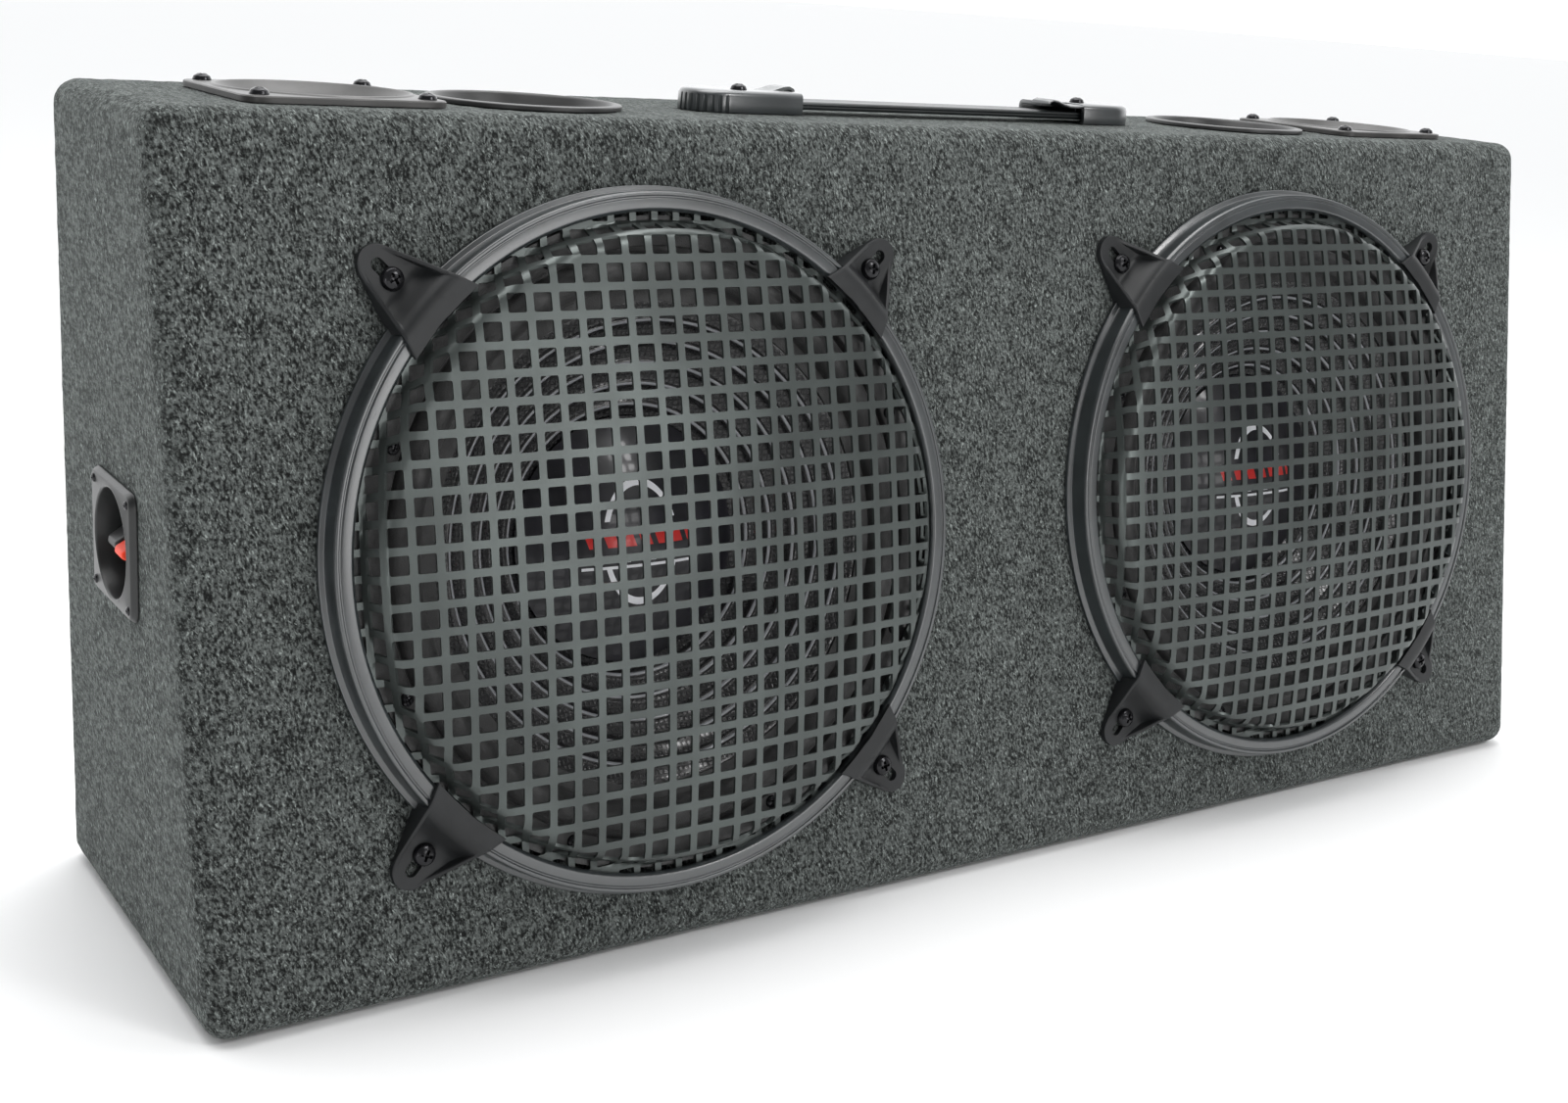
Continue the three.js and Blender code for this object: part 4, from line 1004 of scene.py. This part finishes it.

# %% [markdown]
# ## Surround and spider
# The surround is cut into twelve sectors, each a separate piece, and neighbours meet because
# they reach the same line from either side. The spider below is made in the same way.

# %% Sectors
SECTORS = 12


def sector_mesh(name, outline, index, steps):
    """A slice of a turned ring between two of its radii, closed at both ends."""
    turns = [2 * pi * (index + i / steps) / SECTORS for i in range(steps + 1)]
    loops = [[(r * cos(turn), r * sin(turn), z) for r, z in outline] for turn in turns]
    return loft(name, loops, crease=50)


def bending_ring(name, outline, slot, place, replaced, steps=10):
    for index in range(SECTORS):
        sector = sector_mesh(name, outline, index, steps)
        piece = new_piece(f"{name}_{index + 1}", sector, place, slot, body=None, replaces=(replaced,))
        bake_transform(piece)


ROLL_MIDDLE, GASKET_TOP, SPIDER_EDGE = 130, 8.2, 72.0
roll_turns = [pi * i / 12 for i in range(13)]
roll_top = [(ROLL_MIDDLE + 8 * cos(turn), 3.8 + 8 * sin(turn)) for turn in roll_turns]
roll_under = [(ROLL_MIDDLE + 6.8 * cos(turn), 2.6 + 6.8 * sin(turn)) for turn in reversed(roll_turns)]
surround_outline = [(154, 2.6), (154, GASKET_TOP), (140.6, GASKET_TOP), (140, 7.6), (140, 3.8), *roll_top,
                    (115, 3.8), (115, 2.6), *roll_under]
spider_waves = [(COIL_RADIUS + (SPIDER_EDGE - COIL_RADIUS) * i / 40, -60.4 + 1.2 * sin(2 * pi * i / 10))
                for i in range(41)]
spider_line = [*spider_waves, (74.5, -59.2), (88.0, -59.2)]
spider_outline = [*[(r, z + 0.4) for r, z in spider_line], *[(r, z - 0.4) for r, z in reversed(spider_line)]]


# %% Build both woofers
FRAME_SCREW_RADIUS, RING_SCREW_SEAT = 144.3, 3.6

for hand in ("left", "right"):
    place = woofer_place[hand]
    cone_body = hand + "_cone_assembly"
    new_piece(hand + "_grille", grille, place, "grille_steel", replaces=(hand + "_grille_mesh",))
    new_piece(hand + "_trim_ring", ring, place, "trim_plastic", replaces=(hand + "_grille_ring",))
    for number, turn in enumerate(clamp_turns, 1):
        arm = place @ Matrix.Rotation(radians(turn), 4, "Z")
        new_piece(f"{hand}_ring_clamp_{number}", clamp, arm, "trim_plastic",
                  replaces=(f"{hand}_clamp_{number}",))
        fixing = screw(f"{hand}_clamp_fixing_{number}", big_screw, arm, CLAMP_SCREW_RADIUS, 0,
                       RING_SCREW_SEAT, 37 * number)
        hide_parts(f"{hand}_clamp_screw_{number}")
    for number in range(8):
        turn = radians(22.5 + 45 * number)
        screw(f"{hand}_frame_screw_{number + 1}", small_screw, place, FRAME_SCREW_RADIUS * cos(turn),
              FRAME_SCREW_RADIUS * sin(turn), GASKET_TOP, 53 * number)
    new_piece(hand + "_ribbed_cone", cone, place, "cone_paper", cone_body, (hand + "_cone",))
    new_piece(hand + "_cap", dust_cap, place, "dust_cap_gloss", cone_body, (hand + "_dust_cap",))
    bending_ring(hand + "_roll", surround_outline, "surround_rubber", place,
                 hand + "_surround")
    bending_ring(hand + "_spider_part", spider_outline, "spider_cloth", place,
                 hand + "_spider", 4)
print("woofers done")

# %% [markdown]
# ## Horn tweeters
# Each tweeter is one moulding: a square flange with a raised bead round its mouth, and a horn that narrows
# behind it. A single loft goes round the whole section, from the throat up the flare, over the bead, out to the
# square edge, under the flange and back down outside the horn. A bullet-shaped plug on three fins stands in it.

# %% Tweeter
MOUTH, THROAT, HORN_FACE, HORN_DEPTH, SCREW_SPOT = 42.5, 15.0, 3.3, 36.0, 38.5


def flare(share, extra=0.0):
    radius = THROAT + extra + (MOUTH - THROAT) * (1 - share) ** 2
    return radius, HORN_FACE - HORN_DEPTH * share


horn_loops = [circle(*flare(1 - i / 14), 128) for i in range(14)]
bead = ((42.6, 3.5), (43.1, 4.0), (43.8, 4.2), (44.5, 4.0), (45.0, 3.5))
horn_loops += [circle(r, z, 128) for r, z in bead]
horn_loops += [soft_square(half, half, corner, z, 128) for half, corner, z in (
    (45.6, 8.2, 3.3), (46.5, 8.6, 3.15), (47.0, 9.0, 2.6), (47.0, 9.0, 0.3))]
horn_loops += [circle(44.6, 0.3, 128)]
horn_loops += [circle(*flare(share, 2.5), 128) for share in (0.1, 0.25, 0.4, 0.6, 0.8, 1.0)]
horn = loft("horn", horn_loops, closed=True, crease=32)

plug = turned("plug", eased([(0, -5.7), (6.5, -6.4, 3), (10.6, -11, 4), (11, -18, 3), (7, -32.7), (0, -32.7)],
                            closed=False), 48, closed=False)
fins = []
for turn in (90, 210, 330):
    blade = [(6, -32.7), (15.6, -32.7), (16.6, -26), (19.2, -19.5), (23.2, -13.7), (6, -13.7)]
    fins.append(shifted(loft("fin", [[(r, y, z) for r, z in blade] for y in (-1.2, 1.2)]), turn=turn))
plug = carved(plug, fins, "UNION")

# %% [markdown]
# ## Ports
# The ports are flared tubes with a narrow flange. The flare keeps fast air from chuffing,
# and its soft lip catches a thin crescent of light.

# %% Port
port = turned("port", eased([
    (40.0, -73.3), (40.0, -10.0), (44.0, 0.3, 1), (47.5, 0.3, 0.3), (47.5, 2.4, 0.9), (43.4, 3.0, 2.6),
    (37.0, -9.0, 9.0), (37.0, -73.3)], steps=6), 96)

for hand in ("left", "right"):
    place = top_place(hand + "_tweeter_horn")
    new_piece(hand + "_horn", horn, place, "horn_plastic", replaces=(hand + "_tweeter_horn",))
    new_piece(hand + "_horn_plug", plug, place, "horn_plastic")
    corners = [(x, y) for x in (-SCREW_SPOT, SCREW_SPOT) for y in (-SCREW_SPOT, SCREW_SPOT)]
    for number, (x, y) in enumerate(corners, 1):
        screw(f"{hand}_tweeter_screw_{number}", dome_screw, place, x, y, HORN_FACE, 31 * number)
    new_piece(hand + "_bass_port", port, top_place(hand + "_port"), "port_plastic",
              replaces=(hand + "_port",))
print("horn:", len(horn.polygons), "faces; port:", len(port.polygons), "faces")

# %% [markdown]
# ## Strap handle
# Two moulded end caps hold a flat rubber strap. A cap is round at its outer end, with grip grooves there,
# and it is open inward. One of its walls is shorter than the other,
# and a curled tongue takes its place over the strap.
# Both caps are the same moulding, turned end for end, so one shows its long wall and the other its tongue.

# %% End caps
CAP_HALF, CAP_LENGTH, CAP_TOP, SHORT_WALL = 18.0, 62.0, 11.0, 43.0


def handle_cap_mesh():
    turns = [pi / 2 + pi * i / 24 for i in range(25)]
    plan = [(CAP_HALF + CAP_HALF * cos(turn), CAP_HALF * sin(turn)) for turn in turns]
    plan += [(CAP_LENGTH, -CAP_HALF), (CAP_LENGTH, CAP_HALF)]
    layers = []
    for z, inset in ((0.3, 0.0), (8.2, 0.35), (9.6, 0.8), (10.5, 1.6), (CAP_TOP, 3.0)):
        factor_y, factor_x = (CAP_HALF - inset) / CAP_HALF, (CAP_LENGTH - inset) / CAP_LENGTH
        layers.append([(CAP_LENGTH - (CAP_LENGTH - x) * factor_x, y * factor_y, z) for x, y in plan])
    body = loft("end_cap", layers, crease=40)
    cutters = [prism("pocket", [(20, -15), (80, -15), (80, 15), (20, 15)], -2, 8.6),
               prism("short_wall", [(SHORT_WALL, 1), (80, 1), (80, 25), (SHORT_WALL, 25)], -2, 20)]
    for i in range(8):
        turn = radians(176 + 12.5 * i)
        groove = turned("groove", [(0, -2), (1.15, -2), (1.15, 8.4), (0, 9.4)], 10, closed=False)
        cutters.append(shifted(groove, CAP_HALF + 18.3 * cos(turn), 18.3 * sin(turn)))
    body = carved(body, cutters, bevel=0.25, crease=40)
    line = [(38, 9.9), (43, 9.8), (48, 9.3), (53, 9.5), (58, 10.6), (62.5, 12.0), (66, 12.5), (68.4, 11.7),
            (69, 10.6)]
    sections = []
    for (x, z), (next_x, next_z) in zip(line, line[1:] + [(69.2, 9.4)]):
        slope = Vector((next_x - x, next_z - z)).normalized()
        side = Vector((-slope.y, slope.x))
        rim = ((2.0, -0.8), (16.2, -0.8), (16.9, -0.3), (16.9, 0.3), (16.2, 0.8), (2.0, 0.8))
        sections.append([(x + side.x * lift, y, z + side.y * lift) for y, lift in rim])
    tongue = loft("tongue", sections, crease=50)
    return carved(body, [tongue], "UNION", crease=40)


end_cap = handle_cap_mesh()
handle_place = top_place("handle_strap")
strap_low, strap_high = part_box("handle_strap")
handle_end = (strap_high.x - strap_low.x) / 2 / MM + 1 + CAP_LENGTH
for hand, turn in (("left", 0), ("right", 180)):
    start = Matrix.Rotation(radians(turn), 4, "Z") @ Matrix.Translation(Vector((-handle_end, 0, 0)) * MM)
    new_piece(hand + "_end_cap", end_cap, handle_place @ start, "trim_plastic",
              replaces=(hand + "_handle_cap",))
    screw(hand + "_handle_screw", dome_screw, handle_place @ start, 32, -2, CAP_TOP, 25)

# %% [markdown]
# The strap runs through both caps and bows upward when the box is lifted. It is made as two halves,
# which meet in its middle.
# Shallow grooves along its top give it the lines that such extruded straps have.

# %% Strap
STRAP_HALF, STRAP_LOW, STRAP_TOP, STRAP_HELD, STRAP_FREE = 14.0, 2.6, 6.6, 104.0, 24


def strap_section():
    top = []
    for i in range(29):
        y = STRAP_HALF - 1.0 - (2 * STRAP_HALF - 2.0) * i / 28
        groove = 0.45 * max(0.0, cos(pi * y / 5.2)) ** 4
        top.append((y, STRAP_TOP - groove))
    side = -STRAP_HALF
    edge = [(side + 0.3, STRAP_TOP - 0.5), (side, STRAP_TOP - 1.3), (side + 0.5, STRAP_TOP - 2.0),
            (side, STRAP_LOW + 1.3), (side + 0.3, STRAP_LOW + 0.5), (side + 1.0, STRAP_LOW)]
    return [*top, *edge, *[(-y, z) for y, z in reversed(edge)]]


section = strap_section()
for hand, sign in (("left", -1), ("right", 1)):
    stations = [sign * (STRAP_HELD + 6) * i / 40 for i in range(41)]
    band = loft("strap", [[(x, y, z) for y, z in section] for x in stations], crease=30)
    piece = new_piece(hand + "_strap_half", band, handle_place, "strap", body=None,
                      replaces=("handle_strap",))
    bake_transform(piece)
print("strap:", len(band.polygons), "faces a half")

# %% [markdown]
# ## Terminal cup
# The cup is a square plate with a sloped rim and a deep round recess, again one loft.
# Two push levers stand side by side in it, hinged at the top.

# %% Cup
CUP_FACE, CUP_FLOOR = 3.3, -18.7
cup_loops = [circle(r, z, 96, CUP_STRETCH) for r, z in (
    (0, CUP_FLOOR), (22.6, CUP_FLOOR), (23.6, CUP_FLOOR + 0.5), (24.0, CUP_FLOOR + 1.6), (24.0, 2.4),
    (24.3, 3.2), (24.9, 3.6), (25.5, 3.6), (26.0, CUP_FACE))]
cup_loops += [soft_square(x, y, corner, z) for x, y, corner, z in (
    (28.8, 27.4, 3.4, CUP_FACE), (29.4, 27.9, 3.8, 3.0), (30.7, 29.2, 4.8, 1.3), (31.0, 29.46, 5.0, 0.8),
    (31.0, 29.46, 5.0, 0.3))]
cup_loops += [circle(r, z, 96, CUP_STRETCH) for r, z in ((26.0, 0.3), (26.0, -20.7), (0, -20.7))]
cup = loft("cup", cup_loops, caps=False, crease=32)
new_piece("speaker_terminal_cup", cup, side_place, "cup_plastic", replaces=("terminal_cup",))
for number, (x, y) in enumerate([(x, y) for x in (-25.6, 25.6) for y in (-24.0, 24.0)], 1):
    spot = side_place @ Matrix.Translation(Vector((x, y, CUP_FACE - 0.4)) * MM) @ Matrix.Scale(0.72, 4)
    new_piece(f"cup_screw_{number}", small_screw, spot, "black_screw")

# %% [markdown]
# A lever's side outline is a hooked wedge: thin at its hinge, and thickest at a nose below its middle,
# where a thumb presses. The outline is rounded first, and shrinks a little at each side for soft edges.

# %% Levers
LEVER_HALF, LEVER_BACK = 6.5, -11.7


def lever_mesh(nose, toe):
    outline = eased([(LEVER_BACK, 8.5, 0.5), (LEVER_BACK, -8.5, 0.5), (LEVER_BACK + toe, -8.5, 1.6),
                     (LEVER_BACK + nose, -3.6, 1.8), (LEVER_BACK + nose - 0.4, -0.6, 2.0),
                     (LEVER_BACK + 5.4, 4.0, 4.0), (LEVER_BACK + 3.2, 8.5, 1.2)], steps=5)
    centre = (LEVER_BACK + 3.6, -1.0)
    rims = [(LEVER_HALF, 0.86), (6.2, 0.94), (5.5, 0.99), (4.6, 1.0)]
    loops = []
    for x, shrink in [*[(-x, shrink) for x, shrink in rims], *reversed(rims)]:
        loops.append([(x, centre[1] + (y - centre[1]) * shrink, centre[0] + (z - centre[0]) * shrink)
                      for z, y in outline])
    return loft("lever", loops, crease=40)


for name, nose, toe in (("red", 14.4, 3.6), ("black", 12.6, 5.0)):
    node = name + "_terminal_lever"
    offset = side_place.translation.y - box_centre(node).y
    spot = side_place @ Matrix.Translation((offset, 0, 0))
    new_piece(name + "_push_lever", lever_mesh(nose, toe), spot, name + "_plastic", name + "_lever", (node,))
print("levers done")

# %% [markdown]
# ## Sizes
# The CAD model's box and the box of the looks are printed side by side, in millimetres.

# %% Sizes of the CAD model and the looks
look_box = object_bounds()
for name, (low, high) in (("CAD", cad_box), ("looks", look_box)):
    print(name, "box", [round(c * 1000, 1) for c in low], [round(c * 1000, 1) for c in high])
